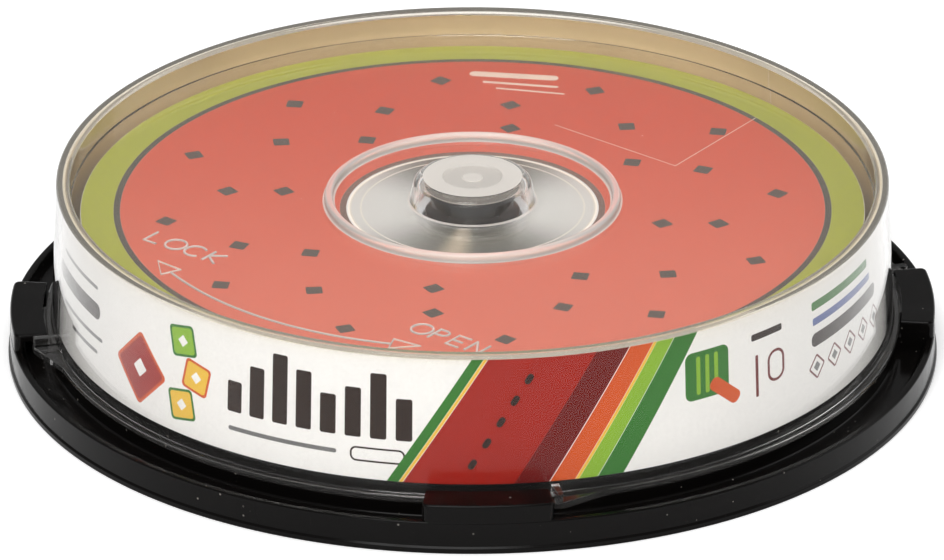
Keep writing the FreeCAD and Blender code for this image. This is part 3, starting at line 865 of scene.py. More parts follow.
def letter_lines(sign, half, side):
    """Lines of one capital, as lists of points round its middle."""
    top_left, top_right = Vector((-side, half, 0)), Vector((side, half, 0))
    foot_left, foot_right = Vector((-side, -half, 0)), Vector((side, -half, 0))
    left, bar_end = Vector((-side, 0, 0)), Vector((MIDDLE_BAR * side, 0, 0))
    bowl = [
        Vector((half / 2 * math.cos(turn), half / 2 + half / 2 * math.sin(turn), 0))
        for turn in arc_turns(math.pi / 2, -math.pi / 2, ARC_STEP)
    ]
    ring = [polar(half, turn) for turn in arc_turns(0, 2 * math.pi, ARC_STEP)]
    hook = [
        polar(half, turn) for turn in arc_turns(C_MOUTH / 2, 2 * math.pi - C_MOUTH / 2, ARC_STEP)
    ]
    return {
        "L": [[top_left, foot_left, foot_right]],
        "K": [[top_left, foot_left], [top_right, left], [left, foot_right]],
        "E": [[top_right, top_left, foot_left, foot_right], [left, bar_end]],
        "N": [[foot_left, top_left], [top_left, foot_right], [foot_right, top_right]],
        "P": [[foot_left, top_left], [top_left] + bowl + [left]],
        "O": [ring],
        "C": [hook],
    }[sign]


def model_signs(own, signs):
    """The raised words and the double arrow between them, as round beads partly sunk in the plate.

    The lines of a letter lie at slightly different levels, so that each can be united with the next.
    """
    bead = signs.stroke / 2
    level = own.plate_top + signs.rise - bead
    half = signs.height / 2 - bead
    facing = Matrix.Rotation(signs.azimuth + math.pi / 2, 4, "Z")
    arrow = arc_turns(signs.arrow_start, signs.arrow_end, ARROW_STEP)
    lines = [[polar(signs.arrow_radius, turn, level - SINK) for turn in arrow]]
    for text, offset, pitch in (
        ("LOCK", -signs.lock_offset, signs.lock_pitch), ("OPEN", signs.open_offset, signs.open_pitch)
    ):
        for number, sign in enumerate(text):
            along = offset + (number - (len(text) - 1) / 2) * pitch
            middle = Vector((along, -signs.inset, level))
            for line in letter_lines(sign, half, signs.aspect * half):
                lines.append([facing @ (point + middle) for point in line])
                middle.z -= SINK
    span = signs.head_length / signs.arrow_radius
    for end, tip in (
        (signs.arrow_start, signs.arrow_start - span), (signs.arrow_end, signs.arrow_end + span)
    ):
        head = [
            polar(signs.arrow_radius - signs.head_width / 2, end, level),
            polar(signs.arrow_radius, tip, level),
            polar(signs.arrow_radius + signs.head_width / 2, end, level),
        ]
        lines.append(head + head[:1])
    strokes = []
    for line in lines:
        ring = (line[0] - line[-1]).length < WELD
        draw("stroke", line[:-1] if ring else line, closed=ring)
        stroke = leave_edit()
        bpy.ops.object.convert(target="CURVE")
        stroke.data.bevel_depth = bead
        stroke.data.bevel_resolution = STROKE_STEPS
        stroke.data.use_fill_caps = True
        bpy.ops.object.convert(target="MESH")
        bpy.ops.object.mode_set(mode="EDIT")
        outward()
        strokes.append(leave_edit())
    return unite(strokes[0], strokes[1:], crossing=True)


class Sheet:
    """Adds nodes to one node tree and links them."""

    def __init__(self, tree):
        self.tree = tree
        tree.nodes.clear()

    def put(self, socket, value):
        """Links a socket to another one, or sets it to a value."""
        if isinstance(value, bpy.types.NodeSocket):
            self.tree.links.new(value, socket)
        else:
            socket.default_value = value

    def add(self, kind, inputs=None, **settings):
        """New node with its inputs, by name or index, and its settings."""
        node = self.tree.nodes.new(kind)
        for name, value in settings.items():
            setattr(node, name, value)
        for name, value in (inputs or {}).items():
            self.put(node.inputs[name], value)
        return node

    def math(self, operation, *values):
        """Result of a sum on sockets or numbers."""
        return self.add("ShaderNodeMath", dict(enumerate(values)), operation=operation).outputs[0]

    def blend(self, factor, first, last):
        """Colour between two colours."""
        node = self.add("ShaderNodeMix", {0: factor, 6: first, 7: last}, data_type="RGBA")
        return node.outputs[2]

    def lerp(self, factor, first, last):
        """Value between two values."""
        return self.add("ShaderNodeMix", {0: factor, 2: first, 3: last}).outputs[0]

    def ramp(self, value, low, high, to_low=0.0, to_high=1.0):
        """Smooth step from one value to another."""
        node = self.add("ShaderNodeMapRange", {
            "Value": value, "From Min": low, "From Max": high, "To Min": to_low, "To Max": to_high,
        }, interpolation_type="SMOOTHSTEP")
        return node.outputs[0]

    def noise(self, place, fineness, detail, roughness=0.5):
        """Cloudy pattern at a place."""
        return self.add("ShaderNodeTexNoise", {
            "Vector": place, "Scale": fineness, "Detail": detail, "Roughness": roughness,
        }).outputs[0]

    def relief(self, height, strength, depth):
        """Normal of a surface that a pattern makes slightly uneven."""
        return self.add("ShaderNodeBump", {
            "Strength": strength, "Distance": depth, "Height": height,
        }).outputs[0]

    def use(self, group, inputs):
        """Outputs of a shared group."""
        node = self.add("ShaderNodeGroup", node_tree=bpy.data.node_groups[group])
        for name, value in inputs.items():
            self.put(node.inputs[name], value)
        return node.outputs


def new_group(name, inputs, outputs):
    """Empty shader group with named sockets: its sheet, what it is given and what it gives."""
    group = bpy.data.node_groups.new(name, "ShaderNodeTree")
    for label, kind in inputs.items():
        group.interface.new_socket(name=label, in_out="INPUT", socket_type=SOCKETS[kind])
    for label, kind in outputs.items():
        group.interface.new_socket(name=label, in_out="OUTPUT", socket_type=SOCKETS[kind])
    sheet = Sheet(group)
    return sheet, sheet.add("NodeGroupInput").outputs, sheet.add("NodeGroupOutput").inputs


def axis_group():
    """Turn, radius and height of a place round the box's axis, in radians and millimetres."""
    sheet, given, result = new_group(
        AXIS, {"Place": "vector"}, {"Turn": "value", "Radius": "value", "Height": "value"}
    )
    parts = sheet.add("ShaderNodeSeparateXYZ", {"Vector": given["Place"]}).outputs
    squares = [sheet.math("POWER", parts[name], 2.0) for name in "XY"]
    radius = sheet.math("SQRT", sheet.math("ADD", *squares))
    sheet.put(result["Turn"], sheet.math("ARCTAN2", parts["Y"], parts["X"]))
    sheet.put(result["Radius"], sheet.math("DIVIDE", radius, MM))
    sheet.put(result["Height"], sheet.math("DIVIDE", parts["Z"], MM))


def mark_group():
    """Mask of one printed mark: a turned bar with round corners, filled or as a line."""
    sizes = (
        "Across", "Up", "Middle Across", "Middle Up",
        "Half Length", "Half Width", "Turn", "Corner", "Line",
    )
    sheet, given, result = new_group(MARK, {label: "value" for label in sizes}, {"Mask": "value"})
    right = sheet.math("SUBTRACT", given["Across"], given["Middle Across"])
    ahead = sheet.math("SUBTRACT", given["Up"], given["Middle Up"])
    sine, cosine = sheet.math("SINE", given["Turn"]), sheet.math("COSINE", given["Turn"])
    along = sheet.math("ADD", sheet.math("MULTIPLY", right, cosine), sheet.math("MULTIPLY", ahead, sine))
    aside = sheet.math(
        "SUBTRACT", sheet.math("MULTIPLY", ahead, cosine), sheet.math("MULTIPLY", right, sine)
    )
    over = []
    for place, half in ((along, given["Half Length"]), (aside, given["Half Width"])):
        straight = sheet.math("SUBTRACT", half, given["Corner"])
        over.append(sheet.math("SUBTRACT", sheet.math("ABSOLUTE", place), straight))
    beyond = [sheet.math("POWER", sheet.math("MAXIMUM", value, 0.0), 2.0) for value in over]
    inside = sheet.math("MINIMUM", sheet.math("MAXIMUM", *over), 0.0)
    gap = sheet.math("ADD", sheet.math("SQRT", sheet.math("ADD", *beyond)), inside)
    gap = sheet.math("SUBTRACT", gap, given["Corner"])
    half_line = sheet.math("MULTIPLY", given["Line"], 0.5)
    line = sheet.math("SUBTRACT", sheet.math("ABSOLUTE", sheet.math("ADD", gap, half_line)), half_line)
    edge = sheet.lerp(sheet.math("GREATER_THAN", given["Line"], 0.0), gap, line)
    sheet.put(result["Mask"], sheet.ramp(edge, -PRINT_SOFTNESS, PRINT_SOFTNESS, 1.0, 0.0))


def dust_group():
    """Mask of small specks, each of its own size, and more of them with more dust."""
    sheet, given, result = new_group(
        DUST, {"Place": "vector", "Fineness": "value", "Amount": "value", "Size": "value"},
        {"Mask": "value"},
    )
    cells = sheet.add("ShaderNodeTexVoronoi", {
        "Vector": given["Place"], "Scale": given["Fineness"], "Randomness": 1.0,
    }).outputs
    chance = sheet.add("ShaderNodeSeparateColor", {"Color": cells["Color"]}).outputs
    size = sheet.math("MULTIPLY", given["Size"], chance["Green"])
    speck = sheet.ramp(cells["Distance"], 0.0, size, 1.0, 0.0)
    kept = sheet.math("LESS_THAN", chance["Red"], given["Amount"])
    sheet.put(result["Mask"], sheet.math("MULTIPLY", speck, kept))


def smudge_group():
    """Soft uneven mask, as handling leaves it on a polished moulding, and a matching gentle relief."""
    sheet, given, result = new_group(
        SMUDGES, {"Place": "vector", "Fineness": "value"}, {"Mask": "value", "Relief": "value"}
    )
    broad = sheet.noise(given["Place"], given["Fineness"], 5.0, 0.62)
    fine = sheet.noise(given["Place"], sheet.math("MULTIPLY", given["Fineness"], 9.0), 2.0)
    sheet.put(result["Mask"], sheet.ramp(broad, 0.42, 0.68))
    sheet.put(result["Relief"], sheet.math("ADD", broad, sheet.math("MULTIPLY", fine, 0.12)))


def new_material(name):
    """Empty material: itself, its sheet, its surface socket and its place in the object."""
    material = bpy.data.materials.new(name)
    material.use_nodes = True
    sheet = Sheet(material.node_tree)
    surface = sheet.add("ShaderNodeOutputMaterial").inputs["Surface"]
    return material, sheet, surface, sheet.add("ShaderNodeTexCoord").outputs["Object"]


def opaque(value):
    """Colour with full alpha."""
    return (*value, 1.0)


def black_moulding(finishes):
    """Polished black plastic with handling marks and dust."""
    material, sheet, surface, place = new_material("black moulding")
    smudges = sheet.use(SMUDGES, {"Place": place, "Fineness": 60.0})
    specks, crumbs = (
        sheet.use(DUST, {"Place": place, "Fineness": fineness, "Amount": amount, "Size": size})["Mask"]
        for fineness, amount, size in ((900.0, 0.14, 0.24), (260.0, 0.02, 0.09))
    )
    dust = sheet.math("MAXIMUM", specks, crumbs)
    polish = sheet.ramp(smudges["Mask"], 0.0, 1.0, 0.13, 0.24)
    skin = sheet.add("ShaderNodeBsdfPrincipled", {
        "Base Color": sheet.blend(dust, opaque(finishes.moulding), opaque(finishes.dust)),
        "Roughness": sheet.math("ADD", polish, sheet.math("MULTIPLY", dust, 0.4)),
        "IOR": PLASTIC_IOR, "Specular IOR Level": 0.10,
        "Normal": sheet.relief(smudges["Relief"], 0.06, SMUDGE_DEPTH),
    })
    sheet.put(surface, skin.outputs[0])
    return material


def clear_moulding(finishes, name):
    """Clear plastic of the cover that lets the lamps through, with faint smudges and fine dust."""
    tint, transmission, low, high, gloss, sheen = COVER_FINISHES[name]
    tint = opaque(getattr(finishes, tint))
    material, sheet, surface, place = new_material(name)
    smudges = sheet.use(SMUDGES, {"Place": place, "Fineness": 34.0})
    specks = sheet.use(DUST, {"Place": place, "Fineness": 420.0, "Amount": 0.03, "Size": 0.10})["Mask"]
    polish = sheet.ramp(smudges["Mask"], 0.0, 1.0, low, high)
    skin = sheet.add("ShaderNodeBsdfPrincipled", {
        "Base Color": tint, "Roughness": sheet.math("ADD", polish, sheet.math("MULTIPLY", specks, 0.5)),
        "IOR": PLASTIC_IOR, "Normal": sheet.relief(smudges["Relief"], 0.05, SMUDGE_DEPTH),
        "Specular Tint": opaque((gloss, gloss, gloss)), "Transmission Weight": transmission,
        "Sheen Weight": sheen, "Sheen Roughness": 0.3, "Sheen Tint": tint,
    })
    through = sheet.add("ShaderNodeBsdfTransparent", {"Color": tint})
    is_shadow = sheet.add("ShaderNodeLightPath").outputs["Is Shadow Ray"]
    mixed = sheet.add("ShaderNodeMixShader", {0: is_shadow, 1: skin.outputs[0], 2: through.outputs[0]})
    sheet.put(surface, mixed.outputs[0])
    return material


def wrap_marks():
    """All marks on one half of the wrap, from the lowest layer of the print to the highest."""
    marks = list(LEFT_MARKS)
    for rim, filling, across, up, turn in TILES:
        for ink, slope, (half, corner) in (
            (rim, turn, TILE_RIM), (filling, turn, TILE_FILLING), ("paper", DIAMOND_TURN, TILE_CORE)
        ):
            marks.append((ink, across, up, half, half, slope, corner, 0))
    for number, height in enumerate(CHART_HEIGHTS):
        across = CHART_START + CHART_PITCH * number
        half = height / 2
        marks.append(("ink", across, CHART_FOOT + half, CHART_HALF, half, 0, CHART_CORNER, 0))
    marks += CHART_RULES
    for ink, across, half in STRIPES:
        marks.append((ink, across, STRIPE_MIDDLE, STRIPE_HALF, half, STRIPE_TURN, STRIPE_CORNER, 0))
    widest = max(STRIPES, key=lambda stripe: stripe[2])[1]
    along = polar(1.0, math.radians(STRIPE_TURN))
    for step in DOT_STEPS:
        across = widest + step * along.x
        up = STRIPE_MIDDLE + step * along.y
        marks.append(("ink", across, up, DOT_HALF_LENGTH, DOT_HALF_WIDTH, STRIPE_TURN, DOT_HALF_WIDTH, 0))
    marks += RIGHT_MARKS
    for number in range(GEM_COUNT):
        across = GEM_START + GEM_PITCH * number
        for ink, (half, corner, line) in (("deep_red", GEM_OUTLINE), ("grey", GEM_CORE)):
            marks.append((ink, across, GEM_LEVEL, half, half, DIAMOND_TURN, corner, line))
    return marks


def printed_mark(
    sheet, across, up, middle, level, half_length, half_width, slope, corner, line=0.0
):
    """Mask of one mark of a print, in millimetres and degrees."""
    return sheet.use(MARK, {
        "Across": across, "Up": up, "Middle Across": middle, "Middle Up": level,
        "Half Length": half_length, "Half Width": half_width, "Turn": math.radians(slope),
        "Corner": corner, "Line": line,
    })["Mask"]


def printed_paper(finishes, girth, foot):
    """White paper with the wrap's print, which repeats on the back half."""
    material, sheet, surface, place = new_material("printed paper")
    round_axis = sheet.use(AXIS, {"Place": place})
    turn = sheet.math("ADD", round_axis["Turn"], math.pi / 2)
    turn = sheet.math("WRAP", turn, math.pi / 2, -math.pi / 2)
    across = sheet.math("MULTIPLY", turn, girth / MM)
    up = sheet.math("SUBTRACT", round_axis["Height"], foot / MM)
    fibres = sheet.noise(place, 2200.0, 3.0)
    shade = sheet.ramp(fibres, 0.3, 0.7, 0.0, 0.06)
    paper = sheet.blend(shade, opaque(finishes.paper), opaque(finishes.grey))
    face = paper
    for ink, *mark in wrap_marks():
        mask = printed_mark(sheet, across, up, *mark)
        face = sheet.blend(mask, face, paper if ink == "paper" else opaque(getattr(finishes, ink)))
    skin = sheet.add("ShaderNodeBsdfPrincipled", {
        "Base Color": face, "Roughness": sheet.ramp(fibres, 0.3, 0.7, 0.42, 0.55),
        "Normal": sheet.relief(fibres, 0.03, GRAIN_DEPTH), "Specular IOR Level": 0.10,
    })
    sheet.put(surface, skin.outputs[0])
    return material


def plain_paper(finishes):
    """Uncoated back of the paper."""
    material, sheet, surface, place = new_material("paper back")
    fibres = sheet.noise(place, 1500.0, 4.0)
    broad = sheet.noise(place, 40.0, 2.0)
    shade = sheet.ramp(sheet.math("ADD", sheet.math("MULTIPLY", fibres, 0.4), broad), 0.5, 0.9, 0.0, 0.25)
    darker = [0.6 * part for part in finishes.paper_back]
    skin = sheet.add("ShaderNodeBsdfPrincipled", {
        "Base Color": sheet.blend(shade, opaque(finishes.paper_back), opaque(darker)),
        "Roughness": 0.8, "Normal": sheet.relief(fibres, 0.15, GRAIN_DEPTH),
    })
    sheet.put(surface, skin.outputs[0])
    return material


def band(sheet, radius, inner, outer, softness):
    """Mask of a ring between two radii, in millimetres."""
    rise = sheet.ramp(radius, inner - softness, inner + softness)
    fall = sheet.ramp(radius, outer - softness, outer + softness, 1.0, 0.0)
    return sheet.math("MULTIPLY", rise, fall)


def hub_print(sheet, finishes, disc, turn, radius):
    """Clear middle of a disc over the silver: painted reflection pale and dark by turns, painted bright
    rings.
    """
    ring_inner = disc.ring_inner / MM
    ring_outer = ring_inner + disc.ring_width / MM
    # Painted reflection: pale at the left and right, painted shade at the front and back
    side = sheet.math("SINE", sheet.math("ADD", sheet.math("MULTIPLY", turn, 2.0), math.pi / 2))
    face = sheet.blend(sheet.ramp(side, -1.0, 1.0), opaque(finishes.hub_painted_shade), opaque(finishes.hub))
    # Warm painted reflection streak at one turn
    beside = sheet.math("WRAP", sheet.math("SUBTRACT", turn, STREAK_TURN), math.pi, -math.pi)
    streak = sheet.ramp(sheet.math("ABSOLUTE", beside), 0.0, STREAK_SPAN, STREAK_STRENGTH, 0.0)
    face = sheet.blend(streak, face, opaque(finishes.hub_painted_streak))
    # Painted highlights: thin bright rings at the stacking ring's edges
    for middle, width in ((ring_outer, HUB_GLINT_WIDTH), (ring_inner, HUB_GLINT_WIDTH / 2)):
        ring = band(sheet, radius, middle - width / 2, middle + width / 2, PRINT_SOFTNESS)
        face = sheet.blend(ring, face, opaque(finishes.hub_painted_glint))
    shade = band(sheet, radius, ring_outer + HUB_GLINT_WIDTH, FIELD_INNER, PRINT_SOFTNESS)
    return sheet.blend(shade, face, opaque(finishes.face_shade))


def face_marks(sheet, finishes, face, turn, radius, across, ahead):
    """Dark diamonds in rings and pale rules, over the fields of a disc's print."""
    for middle, count, start in DIAMOND_RINGS:
        half_step = math.pi / count
        beside = sheet.math("WRAP", sheet.math("ADD", turn, start), half_step, -half_step)
        diamond = printed_mark(
            sheet, radius, sheet.math("MULTIPLY", beside, middle), middle, 0.0,
            DIAMOND_HALF, DIAMOND_HALF, DIAMOND_TURN, DIAMOND_CORNER,
        )
        face = sheet.blend(diamond, face, opaque(finishes.face_dark))
    for middle, level, half_length, half_width, slope in FACE_RULES:
        rule = printed_mark(
            sheet, across, ahead, middle, level, half_length, half_width, slope, half_width
        )
        face = sheet.blend(rule, face, opaque(finishes.face_pale))
    return face


def disc_finish(finishes, disc):
    """Printed face with its clear middle, and the silver side below."""
    material, sheet, surface, place = new_material("printed disc")
    round_axis = sheet.use(AXIS, {"Place": place})
    turn, radius = round_axis["Turn"], round_axis["Radius"]
    flat = sheet.add("ShaderNodeSeparateXYZ", {"Vector": place}).outputs
    across = sheet.math("DIVIDE", flat["X"], MM)
    ahead = sheet.math("DIVIDE", flat["Y"], MM)

    red = band(sheet, radius, FIELD_INNER, FIELD_OUTER, PRINT_SOFTNESS)
    edging = band(sheet, radius, FIELD_OUTER, LIME_INNER, PRINT_SOFTNESS)
    lime = band(sheet, radius, LIME_INNER, LIME_OUTER, PRINT_SOFTNESS)
    # Painted haze: the red field turns paler towards the front
    painted_front_haze = sheet.ramp(ahead, FIELD_OUTER, -FIELD_OUTER)
    field = sheet.blend(painted_front_haze, opaque(finishes.face_red), opaque(finishes.face_red_painted_haze))
    face = sheet.blend(red, hub_print(sheet, finishes, disc, turn, radius), field)
    face = sheet.blend(edging, face, opaque(finishes.face_dark))
    face = sheet.blend(lime, face, opaque(finishes.face_lime))
    face = face_marks(sheet, finishes, face, turn, radius, across, ahead)

    normal = sheet.add("ShaderNodeTexCoord").outputs["Normal"]
    upwards = sheet.add("ShaderNodeSeparateXYZ", {"Vector": normal}).outputs["Z"]
    all_print = band(sheet, radius, 0.0, LIME_OUTER, PRINT_SOFTNESS)
    printed = sheet.math("MULTIPLY", sheet.ramp(upwards, 0.6, 0.9), all_print)
    mirror = band(sheet, radius, SILVER_INNER, SILVER_OUTER, SILVER_SOFTNESS)
    silver = sheet.math("MULTIPLY", sheet.ramp(upwards, -0.6, -0.9), mirror)
    colours = sheet.blend(silver, opaque(finishes.hub), opaque(finishes.silver))
    colours = sheet.blend(printed, colours, face)
    inked = sheet.math("MULTIPLY", printed, sheet.math("MAXIMUM", red, lime))
    clear = band(sheet, radius, 0.0, (disc.ring_inner + disc.ring_width) / MM, PRINT_SOFTNESS)
    bare = sheet.math("MULTIPLY", printed, clear)
    grain = sheet.noise(place, 900.0, 2.0)
    polish = sheet.ramp(grain, 0.3, 0.7, 0.14, 0.2)
    skin = sheet.add("ShaderNodeBsdfPrincipled", {
        "Base Color": colours,
        "Roughness": sheet.math("ADD", sheet.math("MULTIPLY", inked, 0.24), polish),
        "Specular IOR Level": 0.3, "Normal": sheet.relief(grain, 0.04, GRAIN_DEPTH),
        "Metallic": sheet.math("ADD", silver, sheet.math("MULTIPLY", bare, HUB_METAL)),
    })
    sheet.put(surface, skin.outputs[0])
    return material


def photo_camera():
    """Camera at the photo's place, looking down on the box's front."""
    ahead = Vector((0, math.cos(CAMERA_ELEVATION), -math.sin(CAMERA_ELEVATION)))
    bpy.ops.object.camera_add(location=CAMERA_TARGET - ahead * CAMERA_DISTANCE)
    camera = bpy.context.object
    camera.name = "photo_camera"
    camera.rotation_euler = (
        ahead.to_track_quat("-Z", "Y") @ Quaternion((0, 0, 1), CAMERA_ROLL)
    ).to_euler()
    camera.data.lens = FOCAL_PIXELS * camera.data.sensor_width / IMAGE_WIDTH
    camera.data.clip_start = CAMERA_CLIP
    return camera


def faces_inwards(face):
    """Whether a face of the wrap looks at the discs."""
    return face.normal.xy.dot(face.calc_center_median().xy.normalized()) < INWARD_NORMAL


def ring_place(face):
    """Radius and height of a face's middle."""
    middle = face.calc_center_median()
    return middle.xy.length, middle.z


def cover_places(own, cover):
    """Finishes of single places of the cover, each with the test for a face's radius and height.

    Where two of them hold a face, the later one gets it.
    """
    def on_plate(radius, height):
        return cover.dome_foot < radius < own.rim_inner and height > own.plate_bottom - WELD

    def on_rim(radius, height):
        return radius > own.rim_inner - WELD and height > own.rim_top - cover.rim_roof

    def on_dome(radius, height):
        return radius < cover.dome_foot and height > own.plate_top

    def on_top(radius, height):
        return radius < cover.dome_top - cover.dome_round and height > own.dome_ceiling + WELD

    # Painted shade: the dish's floor gets the less frosted finish
    def in_dish(radius, height):
        return cover.gate < radius < cover.dish and on_top(radius, height)

    # The raised signs and rib, and a thin milky line at the dome's foot that is a painted highlight
    def raised(radius, height):
        over_plate = height > own.plate_top + WELD and (
            cover.dome_foot + EDGE_ROUND < radius < own.rim_inner - SOFT_ROUND
        )
        # Painted highlight: the milky fillet round the dome's foot
        foot_painted_highlight = own.plate_top < height < own.plate_top + EDGE_ROUND and (
            abs(radius - cover.dome_foot) < EDGE_ROUND
        )
        return over_plate or foot_painted_highlight

    return (
        ("hazy plate", on_plate),
        ("cloudy moulding", on_rim),
        ("misty moulding", on_dome),
        ("frosted moulding", on_top),
        ("dished top", in_dish),
        ("milky moulding", raised),
    )


def seen_directly(sheet):
    """1 for what the camera sees at once or through a mirror or glass, 0 for what lights the object."""
    path = sheet.add("ShaderNodeLightPath").outputs
    straight = sheet.math("MAXIMUM", path["Is Camera Ray"], path["Is Glossy Ray"])
    return sheet.math("MAXIMUM", straight, path["Is Transmission Ray"])


def pale_floor(stage):
    """Plain pale floor that keeps the object's shadow."""
    material, sheet, surface, place = new_material("pale floor")
    grain = sheet.noise(place, 6.0, 3.0)
    skin = sheet.add("ShaderNodeBsdfPrincipled", {
        "Base Color": opaque(stage.floor_colour), "Roughness": sheet.ramp(grain, 0.3, 0.7, 0.85, 0.95),
        "Emission Color": opaque((1.0, 1.0, 1.0)),
        "Emission Strength": sheet.math("MULTIPLY", seen_directly(sheet), stage.lift),
        "Specular IOR Level": 0.0,
    })
    sheet.put(surface, skin.outputs[0])
    return material


def studio_world(stage):
    """World that lights the object evenly and is seen white.

    Mirrors and glass show it as a white backdrop with a dimmer room over it.
    """
    world = bpy.data.worlds.new("studio")
    world.use_nodes = True
    sheet = Sheet(world.node_tree)
    path = sheet.add("ShaderNodeLightPath").outputs
    direction = sheet.add("ShaderNodeTexCoord").outputs["Generated"]
    rise = sheet.add("ShaderNodeSeparateXYZ", {"Vector": direction}).outputs["Z"]
    backdrop = sheet.ramp(rise, BACKDROP_WHITE, BACKDROP_END, 1.0, stage.room)
    bent = sheet.math("MAXIMUM", path["Is Glossy Ray"], path["Is Transmission Ray"])
    mirrored = sheet.lerp(bent, stage.world, backdrop)
    light = sheet.add("ShaderNodeBackground", {
        "Color": opaque((1.0, 1.0, 1.0)), "Strength": sheet.lerp(path["Is Camera Ray"], mirrored, 1.0),
    })
    sheet.put(sheet.add("ShaderNodeOutputWorld").inputs["Surface"], light.outputs[0])
    return world


def assign_faces(piece, material, test):
    """Gives a further material to the faces that pass the test."""
    piece.data.materials.append(material)
    pick(piece)
    bpy.ops.object.mode_set(mode="EDIT")
    shape = bmesh.from_edit_mesh(piece.data)
    bpy.ops.mesh.select_mode(type="FACE")
    bpy.ops.mesh.select_all(action="DESELECT")
    for face in shape.faces:
        face.select_set(test(face))
    bmesh.update_edit_mesh(piece.data)
    piece.active_material_index = len(piece.data.materials) - 1
    bpy.ops.object.material_slot_assign()
    bpy.ops.object.mode_set(mode="OBJECT")


class SPINDLE_OT_groups(bpy.types.Operator):
    """Make the shader groups that the materials share"""

    bl_idname = "spindle.groups"
    bl_label = "Make Shader Groups"

    def execute(self, context):
        axis_group()
        mark_group()
        dust_group()
        smudge_group()
        return {"FINISHED"}


class SPINDLE_OT_base(bpy.types.Operator):
    """Model the black base with its ears and its post"""

    bl_idname = "spindle.base"
    bl_label = "Add Base"

    def execute(self, context):
        scene = context.scene
        own = shared(scene)
        shell = turn("base_moulding", base_corners(own, scene.box_base), False)
        ears = [model_ear(own, scene.box_base, number * EAR_PITCH) for number in range(EAR_COUNT)]
        unite(shell, ears)
        shell.data.materials.clear()
        shell.data.materials.append(black_moulding(scene.box_finishes))
        finish(shell, "base", "base")
        return {"FINISHED"}


class SPINDLE_OT_discs(bpy.types.Operator):
    """Model one disc and copy it up the post"""

    bl_idname = "spindle.discs"
    bl_label = "Add Discs"

    def execute(self, context):
        scene = context.scene
        disc = scene.box_disc
        bottom = STACK_LOW.z + disc.ring_height
        top = STACK_LOW.z + DISC_PITCH
        ring_outer = disc.ring_inner + disc.ring_width
        radius = STACK_HIGH.x
        lowest = turn("disc_face_01", [
            (disc.bore, top, disc.edge),
            (radius, top, disc.edge),
            (radius, bottom, disc.edge),
            (ring_outer, bottom),
            (ring_outer, STACK_LOW.z),
            (disc.ring_inner, STACK_LOW.z),
            (disc.ring_inner, bottom),
            (disc.bore, bottom, disc.edge),
        ], True)
        lowest.data.materials.append(disc_finish(scene.box_finishes, disc))
        pieces = [lowest]
        for number in range(1, len(DISC_NODES)):
            pick(lowest)
            bpy.ops.object.duplicate(linked=False)
            piece = context.object
            piece.name = "disc_face_%02d" % (number + 1)
            piece.data.transform(Matrix.Translation(UP * DISC_PITCH * number))
            pieces.append(piece)
        for piece, node in zip(pieces, DISC_NODES):
            finish(piece, node, "base")
        return {"FINISHED"}


class SPINDLE_OT_wrap(bpy.types.Operator):
    """Model the printed paper wrap inside the cover's wall"""

    bl_idname = "spindle.wrap"
    bl_label = "Add Paper Wrap"

    def execute(self, context):
        scene = context.scene
        own, wrap, cover = shared(scene), scene.box_wrap, scene.box_cover
        setback = cover.wall + wrap.wall_clearance
        foot = own.cover_top + own.fall * (own.rim_top - WRAP_LOW.z) - setback
        head = own.cover_top + own.fall * (own.rim_top - WRAP_HIGH.z) - setback
        piece = sweep("printed_wrap", [
            (foot - wrap.paper, WRAP_LOW.z),
            (foot, WRAP_LOW.z),
            (head, WRAP_HIGH.z),
            (head - wrap.paper, WRAP_HIGH.z),
        ], wrap.seam_azimuth, 2 * math.pi - wrap.seam_gap / foot)
        leave_edit()
        piece.data.materials.append(printed_paper(scene.box_finishes, (foot + head) / 2, WRAP_LOW.z))
        assign_faces(piece, plain_paper(scene.box_finishes), faces_inwards)
        finish(piece, "label_wrap", "cover")
        return {"FINISHED"}


class SPINDLE_OT_cover(bpy.types.Operator):
    """Model the clear cover with its lugs, dome and raised signs"""

    bl_idname = "spindle.cover"
    bl_label = "Add Cover"

    def execute(self, context):
        scene = context.scene
        own, cover = shared(scene), scene.box_cover
        shell = turn("clear_cover", cover_corners(own, cover), False)
        lugs = [model_lug(own, cover, number * EAR_PITCH) for number in range(EAR_COUNT)]
        unite(shell, lugs + [model_signs(own, scene.box_signs)])
        shell.data.materials.clear()
        shell.data.materials.append(clear_moulding(scene.box_finishes, "clear moulding"))
        for name, holds in cover_places(own, cover):
            material = clear_moulding(scene.box_finishes, name)
            assign_faces(shell, material, lambda face: holds(*ring_place(face)))
        finish(shell, "cover", "cover")
        return {"FINISHED"}


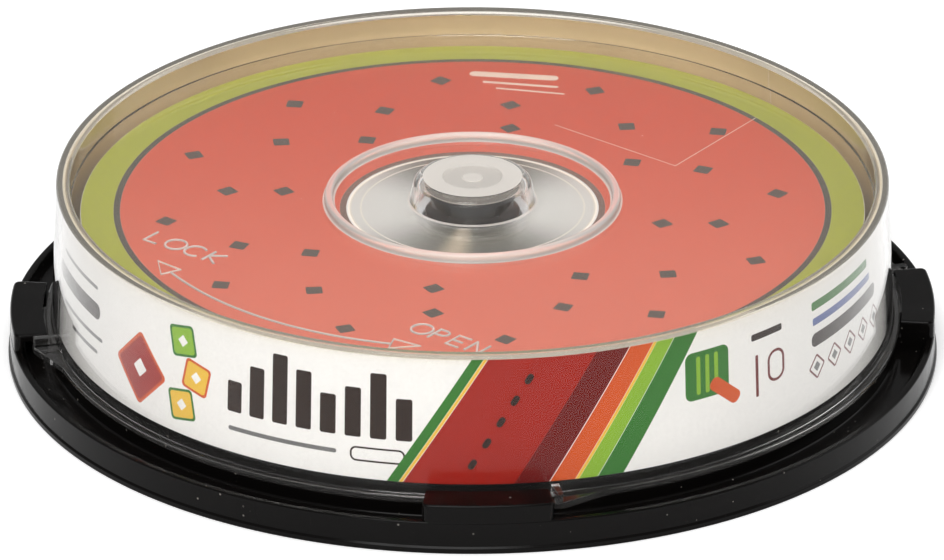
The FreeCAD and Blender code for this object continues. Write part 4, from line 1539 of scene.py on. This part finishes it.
class SPINDLE_OT_stage(bpy.types.Operator):
    """Set the pale floor, the soft studio light and the camera"""

    bl_idname = "spindle.stage"
    bl_label = "Set Stage"

    def execute(self, context):
        scene = context.scene
        stage = scene.box_stage
        bpy.ops.object.select_all(action="DESELECT")
        bpy.ops.mesh.primitive_plane_add(size=stage.floor, location=(0, 0, 0))
        floor = context.object
        floor.name = "floor"
        floor.data.materials.append(pale_floor(stage))
        scene.world = studio_world(stage)
        for name, (place, size) in LAMPS.items():
            bpy.ops.object.light_add(type="AREA", location=place)
            lamp = context.object
            lamp.name = name
            lamp.data.shape = "DISK"
            lamp.data.size = size
            lamp.data.energy = getattr(stage, name)
            lamp.rotation_euler = (-place).to_track_quat("-Z", "Y").to_euler()
        scene.camera = photo_camera()
        scene.view_settings.view_transform = "Standard"
        return {"FINISHED"}


class SPINDLE_PT_panel(bpy.types.Panel):
    """Lists the box's pieces and sizes"""

    bl_label = "Spindle Box"
    bl_idname = "SPINDLE_PT_panel"
    bl_space_type = "VIEW_3D"
    bl_region_type = "UI"
    bl_category = "Spindle Box"

    def draw(self, context):
        for operator in OPERATORS:
            self.layout.operator(operator.bl_idname)
        for group in GROUPS:
            settings = getattr(context.scene, group)
            box = self.layout.box()
            box.label(text=group.replace("_", " "))
            for name in settings.__annotations__:
                box.prop(settings, name)


OPERATORS = (
    SPINDLE_OT_groups,
    SPINDLE_OT_discs,
    SPINDLE_OT_base,
    SPINDLE_OT_wrap,
    SPINDLE_OT_cover,
    SPINDLE_OT_stage,
)


def register():
    """Registers the sizes, the operators and the panel."""
    for name, group in GROUPS.items():
        bpy.utils.register_class(group)
        setattr(bpy.types.Scene, name, bpy.props.PointerProperty(type=group))
    for operator in OPERATORS:
        bpy.utils.register_class(operator)
    bpy.utils.register_class(SPINDLE_PT_panel)


def unregister():
    """Takes them out again."""
    bpy.utils.unregister_class(SPINDLE_PT_panel)
    for operator in reversed(OPERATORS):
        bpy.utils.unregister_class(operator)
    for name, group in GROUPS.items():
        delattr(bpy.types.Scene, name)
        bpy.utils.unregister_class(group)


def main():
    """Builds the whole object and its stage."""
    register()
    bpy.ops.spindle.groups()
    bpy.ops.spindle.discs()
    bpy.ops.spindle.base()
    bpy.ops.spindle.wrap()
    bpy.ops.spindle.cover()
    bpy.ops.spindle.stage()


if __name__ == "__main__":
    main()
